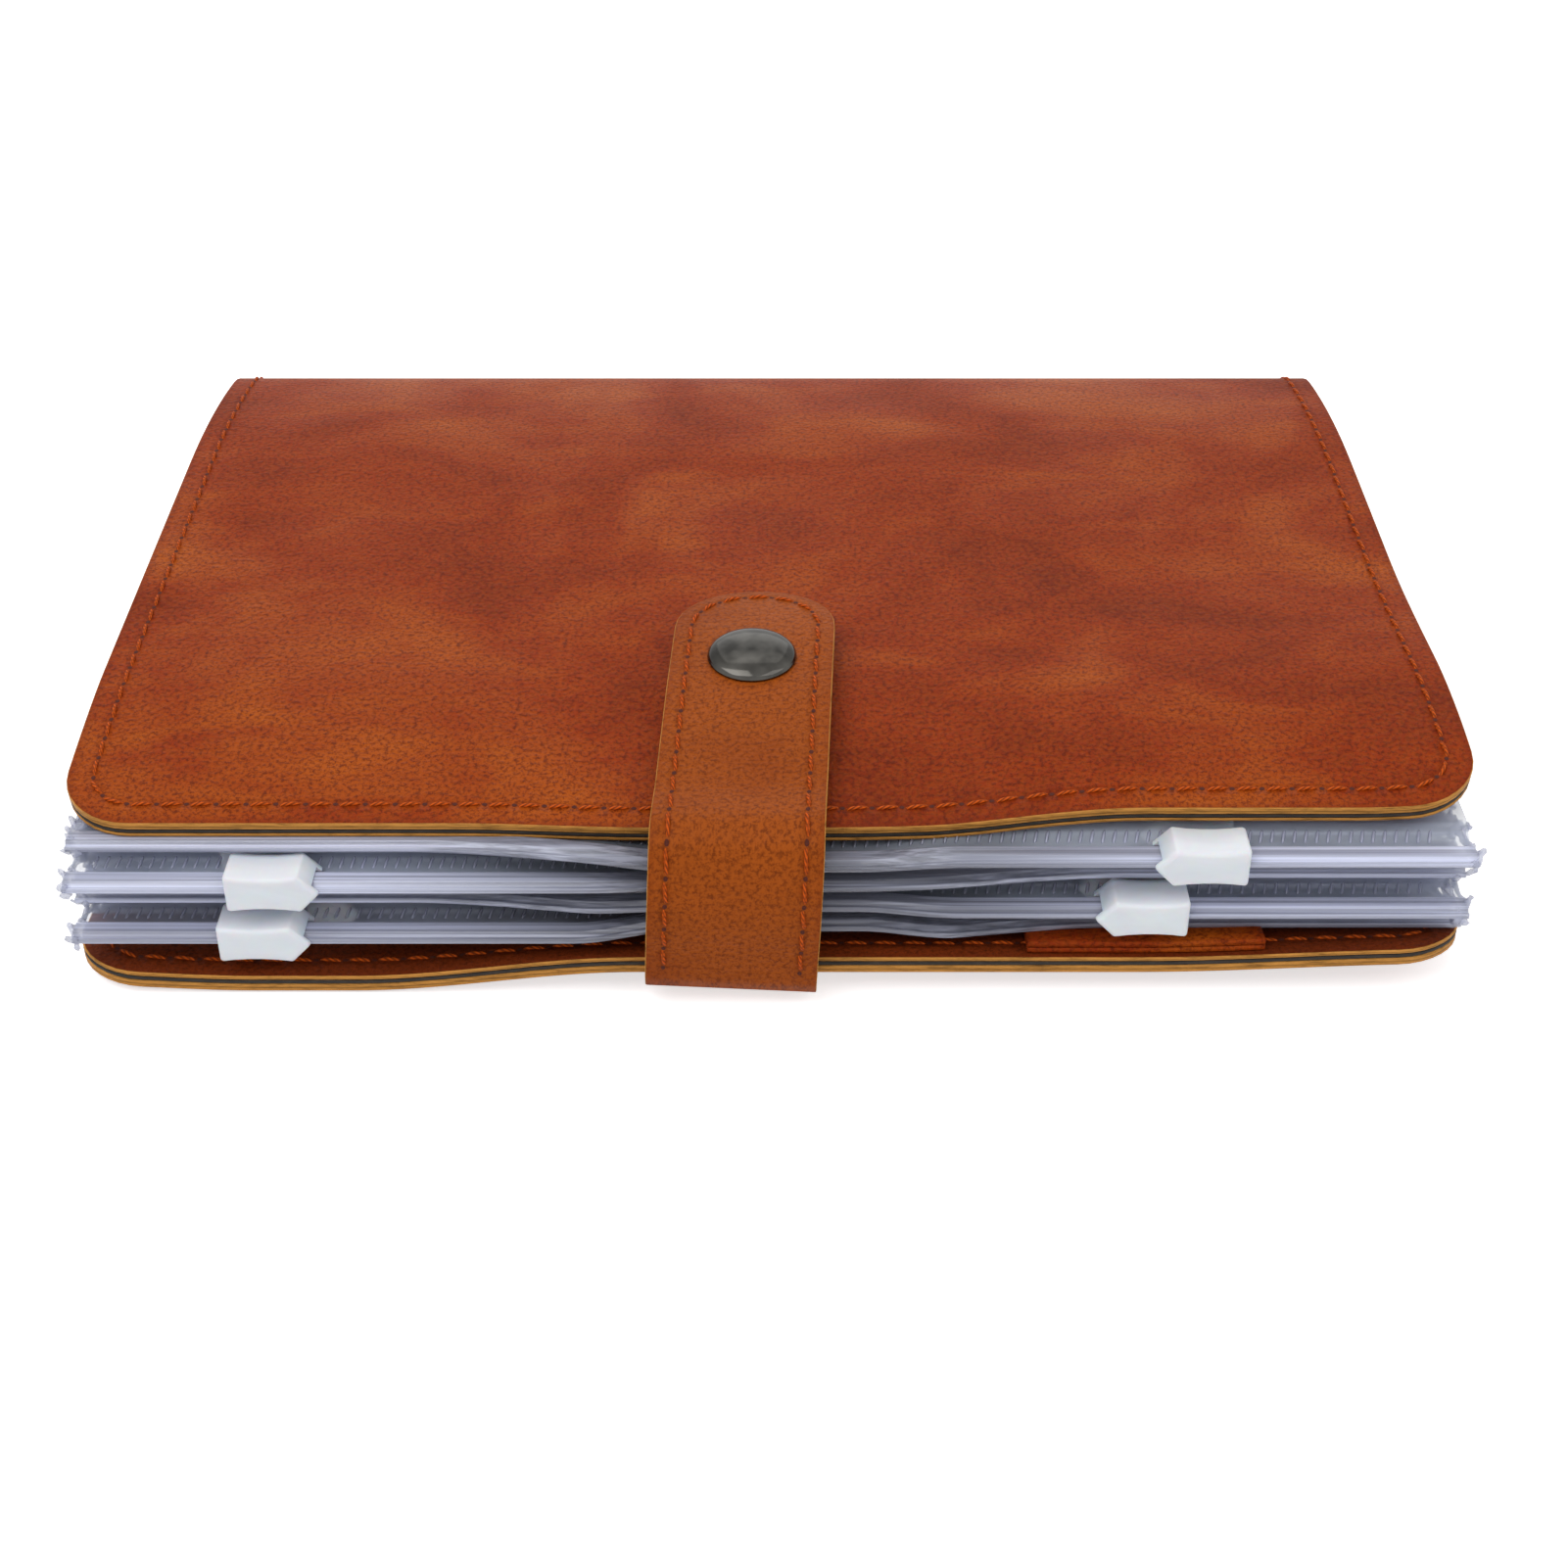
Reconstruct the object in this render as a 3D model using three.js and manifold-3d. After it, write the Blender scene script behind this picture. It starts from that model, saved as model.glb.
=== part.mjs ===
// Closed ring binder notebook: soft leather-look cover, six rings, eight zip pouches and a snap strap.
// Millimetres. X runs along the spine, -Y is the fore-edge, +Y is the spine, Z = 0 is the table.
import * as THREE from "three";
import Module from "manifold-3d";

const wasm = await Module();
wasm.setup();

// Cover sheet and its layers
const coverLength = 190;
const coverCorner = 10;
const skinThickness = 1.2;
const boardThickness = 0.6;
const liningThickness = 0.6;
const layerGap = 0.05;
const foreEdgeY = -65;
const foreEdgeSlack = 0.4;
const bottomOverhang = 6;
const coverTilt = 3;
const droopLength = 31;
const droopDepth = 2.8;
const flatRun = 61;
const shoulderRadius = 180;
const shoulderSlope = 8.5;
const shoulderSteps = 2;
const spineSteps = 9;
const cornerCurl = 2.6;
const cornerCurlWidth = 35;
const rightLift = 1;
const rightLiftFrom = 20;
const rightLiftTo = 60;
const liftDepth = 26;
const liftMiddle = 17;
const strapRampStart = 1.1;
const strapRampEnd = 33;
const strapRampDepth = 22;
const droopMiddle = 20;

// Zip sliders, zip tracks and film of the pouches
const sliderLength = 12.6;
const sliderHeight = 5.8;
const sliderDepth = 6.3;
const sliderWaist = 0.4;
const sliderPoint = 2.7;
const sliderFrontWall = 0.85;
const sliderBevel = 0.4;
const trackHeight = 1.9;
const trackDepth = 3.9;
const trackClearance = 0.15;
const trackLip = 0.3;
const trackLipDepth = 0.75;
const trackSlope = 0.3;
const trackBackSlope = 0.4;
const filmThickness = 0.25;
const filmClearance = 0.15;
const slotClearance = 0.3;
const rowClearance = 0.35;
const firstSliderLift = 0.6;
const rowSpacing = 9.5;
const foreEdgeClearance = 0.2;
const pouchMargin = 1.5;
const pinchHalfWidth = 26;
const pinchCore = 12;
const pinchMiddle = 19;
const pinchHeight = 14;
const pinchSqueeze = 0.22;
const pinchShift = 1;
const pinchFade = 45;
const filmCrossHalf = 20;
const filmSettleY = 20;
const bindingPitch = 1.1;
const bindingMargin = 5.5;
const holeRadius = 3;

// Rings and their plate
const ringStations = [-63.5, -44.45, -25.4, 25.4, 44.45, 63.5];
const ringRadius = 9.5;
const ringWire = 1.3;
const ringJoint = 0.1;
const plateHalfLength = 80;
const plateHalfHeight = 6.2;
const plateDepth = 5;
const plateWall = 0.8;
const plateSeat = 0.2;
const railHalfLength = 68;
const railThickness = 0.65;
const railSeat = 0.15;
const railInset = 0.5;
const rivetX = 74;
const rivetShank = 1.2;
const rivetHead = 3;
const rivetHeadHeight = 1;
const boreClearance = 0.3;

// Strap, its snap and the pen loop
const strapWidth = 23;
const strapLayer = 0.9;
const strapRootX = -5;
const strapSkew = 3.5;
const strapRootLength = 35;
const strapFoldGap = 1.5;
const strapFoldRadius = 0.6;
const strapSplit = 0.3;
const strapBelly = 0.8;
const strapRise = 1.8;
const strapReach = 49;
const strapTipGap = 0.5;
const snapReach = 30;
const snapFlat = 7;
const snapCapRadius = 6.3;
const snapCapHeight = 2;
const snapShank = 1.3;
const snapHeadRadius = 4;
const snapHeadHeight = 0.6;
const snapHeadSeat = 0.3;
const snapFlangeRadius = 4.5;
const snapFlangeHeight = 0.5;
const snapKnobRadius = 1.8;
const snapKnobHeight = 0.8;
const snapSocketRadius = 4.75;
const snapSocketHeight = 0.9;
const snapSocketBore = 2.2;
const snapSocketWeb = 0.2;
const snapSeat = 0.1;
const penLoopCentre = 51;
const penLoopLength = 32;
const penLoopDepth = 9;
const penLoopLayer = 0.85;
const penLoopSlit = 0.2;
const penLoopInset = 1;
const penLoopSeat = 0.3;
const penLoopBend = 0.4;
const strapCornerRise = 1.1;
const strapNearEdge = 4;
const strapEdgeRise = 1.3;
const strapPastEdge = 13;
const strapPastRise = 1.6;
const strapTipRun = 5;

// Sizes that follow from the ones above
const coverThickness = skinThickness + boardThickness + liningThickness + 2 * layerGap;
const halfLength = coverLength / 2;
const sliderHalf = sliderHeight / 2;
const trackHalf = trackHeight / 2;
const filmHalf = filmThickness / 2;
const backPitch = sliderHalf + trackHalf + filmThickness + 2 * filmClearance;
const frontPitch = sliderHalf + trackHalf + rowClearance;
const backBase = coverThickness + firstSliderLift + sliderHalf;
const frontBase = backBase + frontPitch / 2;
const rightRise = sliderHalf - trackHalf;
const topTrackZ = backBase + 3 * backPitch;
const foreEdgeZ = topTrackZ + trackHalf + filmThickness + 2 * filmClearance + foreEdgeSlack + coverThickness;
const bottomForeY = foreEdgeY - bottomOverhang;
const strapThickness = 2 * strapLayer + layerGap;
const strapLift = strapThickness + boreClearance;
const strapHalf = strapWidth / 2;
const pouchHalf = halfLength - pouchMargin;
const penLoopHalf = penLoopLength / 2;

// Finishes
const leather = { color: 0xa85420, roughness: 0.55, metalness: 0 };
const strapLeather = { color: 0xa85c1c, roughness: 0.55, metalness: 0 };
const liningLeather = { color: 0x7c3a18, roughness: 0.6, metalness: 0 };
const blackBoard = { color: 0x26211e, roughness: 0.85, metalness: 0 };
const chrome = { color: 0xc9c9c6, roughness: 0.15, metalness: 1 };
const steel = { color: 0xb4b6b8, roughness: 0.3, metalness: 1 };
const clearFilm = { color: 0xd6dcf0, roughness: 0.2, metalness: 0 };
const clearTrack = { color: 0xb9c0e6, roughness: 0.25, metalness: 0 };
const milkyPlastic = { color: 0xf2f4fa, roughness: 0.4, metalness: 0 };

const binder = new THREE.Group();

function addPiece(name, geometry, look, parent = binder) {
  const mesh = new THREE.Mesh(geometry, new THREE.MeshStandardMaterial(look));
  mesh.name = name;
  parent.add(mesh);
  return mesh;
}

const radians = (degrees) => (degrees * Math.PI) / 180;
const mix = (a, b, t) => a + (b - a) * t;

function smooth(low, high, value) {
  const t = Math.min(1, Math.max(0, (value - low) / (high - low)));
  return t * t * (3 - 2 * t);
}

// A closed surface that faces out: shared points are merged, and empty triangles are left out
function closedSurface(points, triangles) {
  const index = new Map();
  const places = [];
  const ids = points.map((point) => {
    const key = point.map((value) => Math.round(value * 2000)).join(",");
    if (!index.has(key)) {
      index.set(key, places.length);
      places.push(point);
    }
    return index.get(key);
  });
  let faces = triangles
    .map((triangle) => triangle.map((id) => ids[id]))
    .filter(([a, b, c]) => a !== b && b !== c && c !== a);
  const corner = (id) => new THREE.Vector3(...places[id]);
  const volume = faces.reduce((sum, [a, b, c]) => sum + corner(a).dot(corner(b).cross(corner(c))), 0);
  if (volume < 0) faces = faces.map(([a, b, c]) => [a, c, b]);
  const geometry = new THREE.BufferGeometry();
  geometry.setAttribute("position", new THREE.Float32BufferAttribute(places.flat(), 3));
  geometry.setIndex(faces.flat());
  geometry.computeVertexNormals();
  return geometry;
}

// The same surface with its shared points merged
function joined(geometry) {
  const place = geometry.getAttribute("position");
  const points = Array.from({ length: place.count }, (_, i) => [place.getX(i), place.getY(i), place.getZ(i)]);
  const order = geometry.index ? Array.from(geometry.index.array) : points.map((_, i) => i);
  const triangles = [];
  for (let i = 0; i < order.length; i += 3) triangles.push(order.slice(i, i + 3));
  return closedSurface(points, triangles);
}

function solidOf(geometry) {
  const clean = joined(geometry);
  return new wasm.Manifold(
    new wasm.Mesh({
      numProp: 3,
      vertProperties: new Float32Array(clean.getAttribute("position").array),
      triVerts: new Uint32Array(clean.index.array),
    }),
  );
}

// A piece with other shapes cut out of it
function cutOut(geometry, cutters) {
  const solid = cutters.reduce((left, cutter) => left.subtract(solidOf(cutter)), solidOf(geometry));
  const mesh = solid.getMesh();
  const result = new THREE.BufferGeometry();
  result.setAttribute("position", new THREE.BufferAttribute(mesh.vertProperties, mesh.numProp));
  result.setIndex(new THREE.BufferAttribute(mesh.triVerts, 1));
  result.computeVertexNormals();
  return result;
}

// A sheet between two faces on one grid of columns and rows
function gridSheet(columns, rows, topFace, bottomFace) {
  const points = [];
  for (const face of [topFace, bottomFace]) {
    for (const column of columns) {
      for (const row of rows) points.push(face(column, row));
    }
  }
  const at = (side, i, j) => (side * columns.length + i) * rows.length + j;
  const triangles = [];
  const quad = (a, b, c, d) => triangles.push([a, b, c], [a, c, d]);
  const lastColumn = columns.length - 1;
  const lastRow = rows.length - 1;
  for (let i = 0; i < lastColumn; i += 1) {
    for (let j = 0; j < lastRow; j += 1) {
      quad(at(0, i, j), at(0, i + 1, j), at(0, i + 1, j + 1), at(0, i, j + 1));
      triangles.push([at(1, i, j), at(1, i + 1, j + 1), at(1, i + 1, j)]);
      triangles.push([at(1, i, j), at(1, i, j + 1), at(1, i + 1, j + 1)]);
    }
    quad(at(0, i, 0), at(1, i, 0), at(1, i + 1, 0), at(0, i + 1, 0));
    quad(at(0, i, lastRow), at(0, i + 1, lastRow), at(1, i + 1, lastRow), at(1, i, lastRow));
  }
  for (let j = 0; j < lastRow; j += 1) {
    quad(at(0, 0, j), at(0, 0, j + 1), at(1, 0, j + 1), at(1, 0, j));
    quad(at(0, lastColumn, j), at(1, lastColumn, j), at(1, lastColumn, j + 1), at(0, lastColumn, j + 1));
  }
  return closedSurface(points, triangles);
}

// One section swept through stations, with flat ends
function sweep(section, stations, place) {
  const contour = section.map(([u, v]) => new THREE.Vector2(u, v));
  if (THREE.ShapeUtils.isClockWise(contour)) contour.reverse();
  const points = stations.flatMap((station) => contour.map(({ x, y }) => place(station, x, y)));
  const sides = contour.length;
  const last = (stations.length - 1) * sides;
  const triangles = [];
  for (let i = 0; i < last; i += sides) {
    for (let j = 0; j < sides; j += 1) {
      const next = (j + 1) % sides;
      triangles.push([i + j, i + next, i + sides + next], [i + j, i + sides + next, i + sides + j]);
    }
  }
  for (const [a, b, c] of THREE.ShapeUtils.triangulateShape(contour, [])) {
    triangles.push([a, c, b], [last + a, last + b, last + c]);
  }
  return closedSurface(points, triangles);
}

const alongX = (x, y, z) => [x, y, z];

function roundSection(radius, sides) {
  return Array.from({ length: sides }, (_, k) => {
    const angle = (2 * Math.PI * (k + 0.5)) / sides;
    return [radius * Math.cos(angle), radius * Math.sin(angle)];
  });
}

// A turned piece on the Z axis, from [radius, height] pairs
function turned(profile, segments) {
  const outline = profile.map(([radius, height]) => new THREE.Vector2(radius, height));
  return joined(new THREE.LatheGeometry(outline, segments).rotateX(Math.PI / 2));
}

function roundBar(radius, low, high, segments = 12) {
  return turned([[0, low], [radius, low], [radius, high], [0, high]], segments);
}

// The cover's side view, walked from the front cover's fore-edge over the spine to the back cover's fore-edge
const tilt = radians(coverTilt);
const slope = radians(shoulderSlope);
const flatEnd = droopLength + flatRun;
const shoulderEnd = flatEnd + shoulderRadius * (tilt + slope);
const flatEndY = foreEdgeY + flatEnd * Math.cos(tilt);
const flatEndZ = foreEdgeZ + droopDepth + flatEnd * Math.sin(tilt);
const shoulderEndY = flatEndY + shoulderRadius * (Math.sin(tilt) + Math.sin(slope));
const shoulderEndZ = flatEndZ - shoulderRadius * (Math.cos(tilt) - Math.cos(slope));
const spineRadius = shoulderEndZ / (1 + Math.cos(slope));
const spineY = shoulderEndY - spineRadius * Math.sin(slope);
const spineZ = spineRadius;
const spineEnd = shoulderEnd + spineRadius * (Math.PI - slope);
const coverEnd = spineEnd + spineY - bottomForeY;
const bottomRun = (y) => spineEnd + spineY - y;

// Place and heading of the outer face at a run along that walk
function coverProfile(run) {
  if (run <= flatEnd) {
    const left = Math.max(0, 1 - run / droopLength);
    const rise = tilt + Math.atan((1.5 * droopDepth * Math.sqrt(left)) / droopLength);
    return {
      y: foreEdgeY + run * Math.cos(tilt),
      z: foreEdgeZ + droopDepth + run * Math.sin(tilt) - droopDepth * left ** 1.5,
      heading: rise,
    };
  }
  if (run <= shoulderEnd) {
    const heading = tilt - (run - flatEnd) / shoulderRadius;
    return {
      y: flatEndY + shoulderRadius * (Math.sin(tilt) - Math.sin(heading)),
      z: flatEndZ - shoulderRadius * (Math.cos(tilt) - Math.cos(heading)),
      heading,
    };
  }
  if (run <= spineEnd) {
    const heading = -slope - (run - shoulderEnd) / spineRadius;
    return {
      y: spineY - spineRadius * Math.sin(heading),
      z: spineZ + spineRadius * Math.cos(heading),
      heading,
    };
  }
  return { y: spineY - (run - spineEnd), z: 0, heading: -Math.PI };
}

// How far the sheet bows up from its plain side view: the front cover over the right zips, the back cover
// over the strap's root and at its right fore corner
function coverBow(x, run) {
  if (run < shoulderEnd) {
    const across = smooth(rampRight, pinchHalfWidth + 1, x);
    return rightRise * across * (1 - smooth(coverCorner, droopLength + flatRun / 2, run));
  }
  if (run < spineEnd) return 0;
  const { y } = coverProfile(run);
  const offStrap = Math.abs(x - strapRootX);
  const overStrap = 1 - smooth(strapHalf + strapRampStart, strapHalf + strapRampEnd, offStrap);
  const rootEnd = bottomForeY + strapRootLength;
  const strapRamp = 1 - smooth(rootEnd, rootEnd + strapRampDepth, y);
  const nearEdge = 1 - smooth(bottomForeY, bottomForeY + liftDepth, y);
  const curl = cornerCurl * smooth(halfLength - cornerCurlWidth, halfLength, x);
  const lift = rightLift * smooth(rightLiftFrom, rightLiftTo, x);
  return Math.max(strapLift * overStrap * strapRamp, (curl + lift) * nearEdge);
}

// A point of the cover sheet at a depth under its outer face
function coverPoint(x, run, depth) {
  const { y, z, heading } = coverProfile(run);
  const bow = coverBow(x, run);
  return [x, y + depth * Math.sin(heading), z - depth * Math.cos(heading) + bow];
}

// How much a rounded corner shortens the sheet at a distance off its middle
function cornerInset(off, half, radius) {
  const into = Math.max(0, Math.abs(off) - (half - radius));
  return radius - Math.sqrt(Math.max(0, radius ** 2 - into ** 2));
}

function squeezed(fromEdge, inset, radius) {
  return fromEdge >= radius ? fromEdge : inset + (fromEdge * (radius - inset)) / radius;
}

const cornerColumns = [90, 70, 35, 0].map((angle) => {
  return halfLength - coverCorner + coverCorner * Math.sin(radians(angle));
});
const rampLeft = strapRootX - strapHalf - strapRampStart;
const rampRight = strapRootX + strapHalf + strapRampStart;
const leftColumns = [-55, -30];
const rightColumn = 17;
const coverColumns = [
  ...cornerColumns.map((x) => -x),
  ...leftColumns,
  ...[rampLeft, rampRight, rightColumn, pinchHalfWidth + 1],
  ...[penLoopCentre - penLoopHalf, penLoopCentre + penLoopHalf],
  ...[...cornerColumns].reverse(),
];
const steps = (from, to, count) => {
  return Array.from({ length: count }, (_, k) => mix(from, to, (k + 1) / count));
};
const coverRows = [
  0,
  coverCorner,
  droopMiddle,
  droopLength,
  ...steps(droopLength, flatEnd, 2),
  ...steps(flatEnd, shoulderEnd, shoulderSteps),
  ...steps(shoulderEnd, spineEnd, spineSteps),
  bottomRun(bottomForeY + strapRootLength + strapRampDepth),
  bottomRun(bottomForeY + strapRootLength + strapRampDepth / 2),
  bottomRun(bottomForeY + strapRootLength),
  bottomRun(bottomForeY + liftDepth),
  bottomRun(bottomForeY + liftMiddle),
  coverEnd - coverCorner,
  coverEnd,
];

function coverFace(depth) {
  return (x, row) => {
    const inset = cornerInset(x, halfLength, coverCorner);
    const fromFront = squeezed(row, inset, coverCorner);
    const run = coverEnd - squeezed(coverEnd - fromFront, inset, coverCorner);
    return coverPoint(x, run, depth);
  };
}

function coverLayer(depth, thickness) {
  return gridSheet(coverColumns, coverRows, coverFace(depth), coverFace(depth + thickness));
}

// The strap's side view: up in front of the zips, over the fore-edge and down to its tip
const standingY = bottomForeY - strapFoldGap;
const foldY = standingY + strapFoldRadius;
const foldZ = strapThickness + strapFoldRadius;
const standingZ = foldZ + strapSplit;
const snapPlace = coverProfile(snapReach);
const overCover = (run, offset) => {
  const { y, z, heading } = coverProfile(run);
  return new THREE.Vector3(0, y - offset * Math.sin(heading), z + offset * Math.cos(heading));
};
const overSnap = (along) => {
  const { heading } = snapPlace;
  return overCover(snapReach, strapRise).add(
    new THREE.Vector3(0, along * Math.cos(heading), along * Math.sin(heading)),
  );
};
const standing = foreEdgeZ - standingZ;
const strapPath = new THREE.CatmullRomCurve3([
  new THREE.Vector3(0, standingY, standingZ),
  new THREE.Vector3(0, standingY - strapBelly / 2, standingZ + 0.25 * standing),
  new THREE.Vector3(0, standingY - strapBelly, standingZ + 0.5 * standing),
  new THREE.Vector3(0, standingY, standingZ + 0.8 * standing),
  new THREE.Vector3(0, mix(standingY, foreEdgeY, 0.35), foreEdgeZ + strapCornerRise),
  overCover(strapNearEdge, strapEdgeRise),
  overCover(strapPastEdge, strapPastRise),
  overSnap(-snapFlat),
  overSnap(0),
  overSnap(snapFlat),
  overCover(strapReach - strapTipRun, strapEdgeRise),
  overCover(strapReach, strapTipGap),
]);
const strapRun = strapPath.getLength();
const strapSnapRun = strapRun - (strapReach - snapReach);
const strapX = (run) => strapRootX + (strapSkew * run) / strapRun;

function strapPoint(off, run, offset) {
  const place = strapPath.getPointAt(run / strapRun);
  const heading = strapPath.getTangentAt(run / strapRun);
  return [strapX(run) + off, place.y - offset * heading.z, place.z + offset * heading.y];
}

const strapColumns = [-90, -60, -30, 0, 30, 60, 90].map((angle) => strapHalf * Math.sin(radians(angle)));
const strapRows = [
  0,
  ...steps(0, strapRun - strapHalf, 16),
  strapRun - strapHalf / 2,
  strapRun,
];

function strapFace(offset) {
  return (off, row) => {
    const inset = cornerInset(off, strapHalf, strapHalf);
    return strapPoint(off, strapRun - squeezed(strapRun - row, inset, strapHalf), offset);
  };
}

// The snap stands square on the front cover
const snapX = strapX(strapSnapRun);
const snap = new THREE.Group();
snap.position.set(snapX, snapPlace.y, snapPlace.z);
snap.rotation.x = snapPlace.heading;
snap.updateMatrix();
const snapHole = roundBar(snapShank + boreClearance, -2 * coverThickness, 2 * strapThickness + strapRise);
snapHole.applyMatrix4(snap.matrix);

// The spine's rivet holes
const rivetHoles = [-rivetX, rivetX].map((x) => {
  const bar = roundBar(rivetShank + boreClearance, -plateDepth, plateDepth).rotateX(Math.PI / 2);
  return bar.translate(x, spineY + spineRadius - skinThickness - plateDepth - layerGap, spineZ);
});

function addCover() {
  const boardDepth = skinThickness + layerGap;
  const liningDepth = boardDepth + boardThickness + layerGap;
  const skin = cutOut(coverLayer(0, skinThickness), [snapHole]);
  addPiece("outer_cover", skin, leather);
  const board = coverLayer(boardDepth, boardThickness);
  addPiece("stiffener_sheet", cutOut(board, [snapHole, ...rivetHoles]), blackBoard);
  const lining = coverLayer(liningDepth, liningThickness);
  addPiece("inner_lining", cutOut(lining, [snapHole, ...rivetHoles]), liningLeather);
}

// A flat loop of leather, folded at its back, on the back cover's lining
function addPenLoop() {
  const front = bottomForeY + penLoopInset;
  const back = front + penLoopDepth;
  const height = 2 * penLoopLayer + penLoopSlit;
  const section = [
    [front, 0],
    [back - penLoopBend, 0],
    [back, height / 2],
    [back - penLoopBend, height],
    [front, height],
    [front, height - penLoopLayer],
    [back - penLoopLayer, height - penLoopLayer],
    [back - penLoopLayer, penLoopLayer],
    [front, penLoopLayer],
  ];
  const stations = [-1, -0.2, 0.5, 1].map((share) => penLoopCentre + share * penLoopHalf);
  const geometry = sweep(section, stations, (x, y, height_) => {
    return coverPoint(x, bottomRun(y), coverThickness + penLoopSeat + height_);
  });
  addPiece("pen_loop", geometry, leather);
}

function addStrap() {
  const turns = [0, 0.25, 0.5, 0.75, 1].map((share) => (share * Math.PI) / 2);
  const rearY = bottomForeY + strapRootLength - 1;
  const rootFace = (radius) => (x, turn) => {
    if (turn < 0) return [x, rearY, foldZ - radius];
    return [x, foldY - radius * Math.sin(turn), foldZ - radius * Math.cos(turn)];
  };
  const root = gridSheet(
    [strapRootX - strapHalf, strapRootX + strapHalf],
    [-1, ...turns],
    rootFace(strapFoldRadius),
    rootFace(strapFoldRadius + strapThickness),
  );
  addPiece("strap_root", root, strapLeather);
  const faceStart = strapLayer + layerGap;
  const backing = gridSheet(strapColumns, strapRows, strapFace(0), strapFace(strapLayer));
  addPiece("strap_backing", cutOut(backing, [snapHole]), strapLeather);
  const face = gridSheet(strapColumns, strapRows, strapFace(faceStart), strapFace(strapThickness));
  addPiece("strap_face", cutOut(face, [snapHole]), strapLeather);
}

function addSnap() {
  const under = -coverThickness - snapHeadSeat;
  const studTop = layerGap + snapFlangeHeight + snapKnobHeight;
  const socketTop = strapRise - snapSeat;
  const socketLow = socketTop - snapSocketHeight;
  const capLow = strapRise + strapThickness + snapSeat;
  addPiece(
    "snap_post",
    turned(
      [
        [0, under - snapHeadHeight],
        [snapHeadRadius - 0.3, under - snapHeadHeight],
        [snapHeadRadius, under - snapHeadHeight / 2],
        [snapHeadRadius, under],
        [snapShank, under],
        [snapShank, 0],
        [0, 0],
      ],
      12,
    ),
    steel,
    snap,
  );
  addPiece(
    "snap_stud",
    turned(
      [
        [0, layerGap],
        [snapFlangeRadius, layerGap],
        [snapFlangeRadius, layerGap + snapFlangeHeight],
        [snapKnobRadius, layerGap + snapFlangeHeight],
        [snapKnobRadius, studTop - 0.2],
        [snapKnobRadius - 0.3, studTop],
        [0, studTop],
      ],
      14,
    ),
    steel,
    snap,
  );
  addPiece(
    "snap_socket",
    turned(
      [
        [snapSocketBore, socketLow],
        [snapSocketRadius, socketLow],
        [snapSocketRadius, socketTop],
        [snapShank + boreClearance, socketTop],
        [snapShank + boreClearance, socketTop - snapSocketWeb],
        [snapSocketBore, socketTop - snapSocketWeb],
        [snapSocketBore, socketLow],
      ],
      14,
    ),
    steel,
    snap,
  );
  const dome = [0, 22, 45, 68, 90].map((angle) => [
    snapCapRadius * Math.cos(radians(angle)),
    capLow + 0.2 * snapCapHeight + 0.8 * snapCapHeight * Math.sin(radians(angle)),
  ]);
  dome[dome.length - 1][0] = 0;
  addPiece(
    "snap_cap",
    turned(
      [[0, socketTop], [snapShank, socketTop], [snapShank, capLow], [snapCapRadius, capLow], ...dome],
      20,
    ),
    chrome,
    snap,
  );
  binder.add(snap);
}

// Half a ring, or the slot that it runs through
function ringArc(x, wire, sides, turns) {
  return sweep(roundSection(wire, sides), turns, (turn, u, v) => [
    x + u,
    spineY + (ringRadius + v) * Math.cos(turn),
    spineZ + (ringRadius + v) * Math.sin(turn),
  ]);
}

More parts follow.
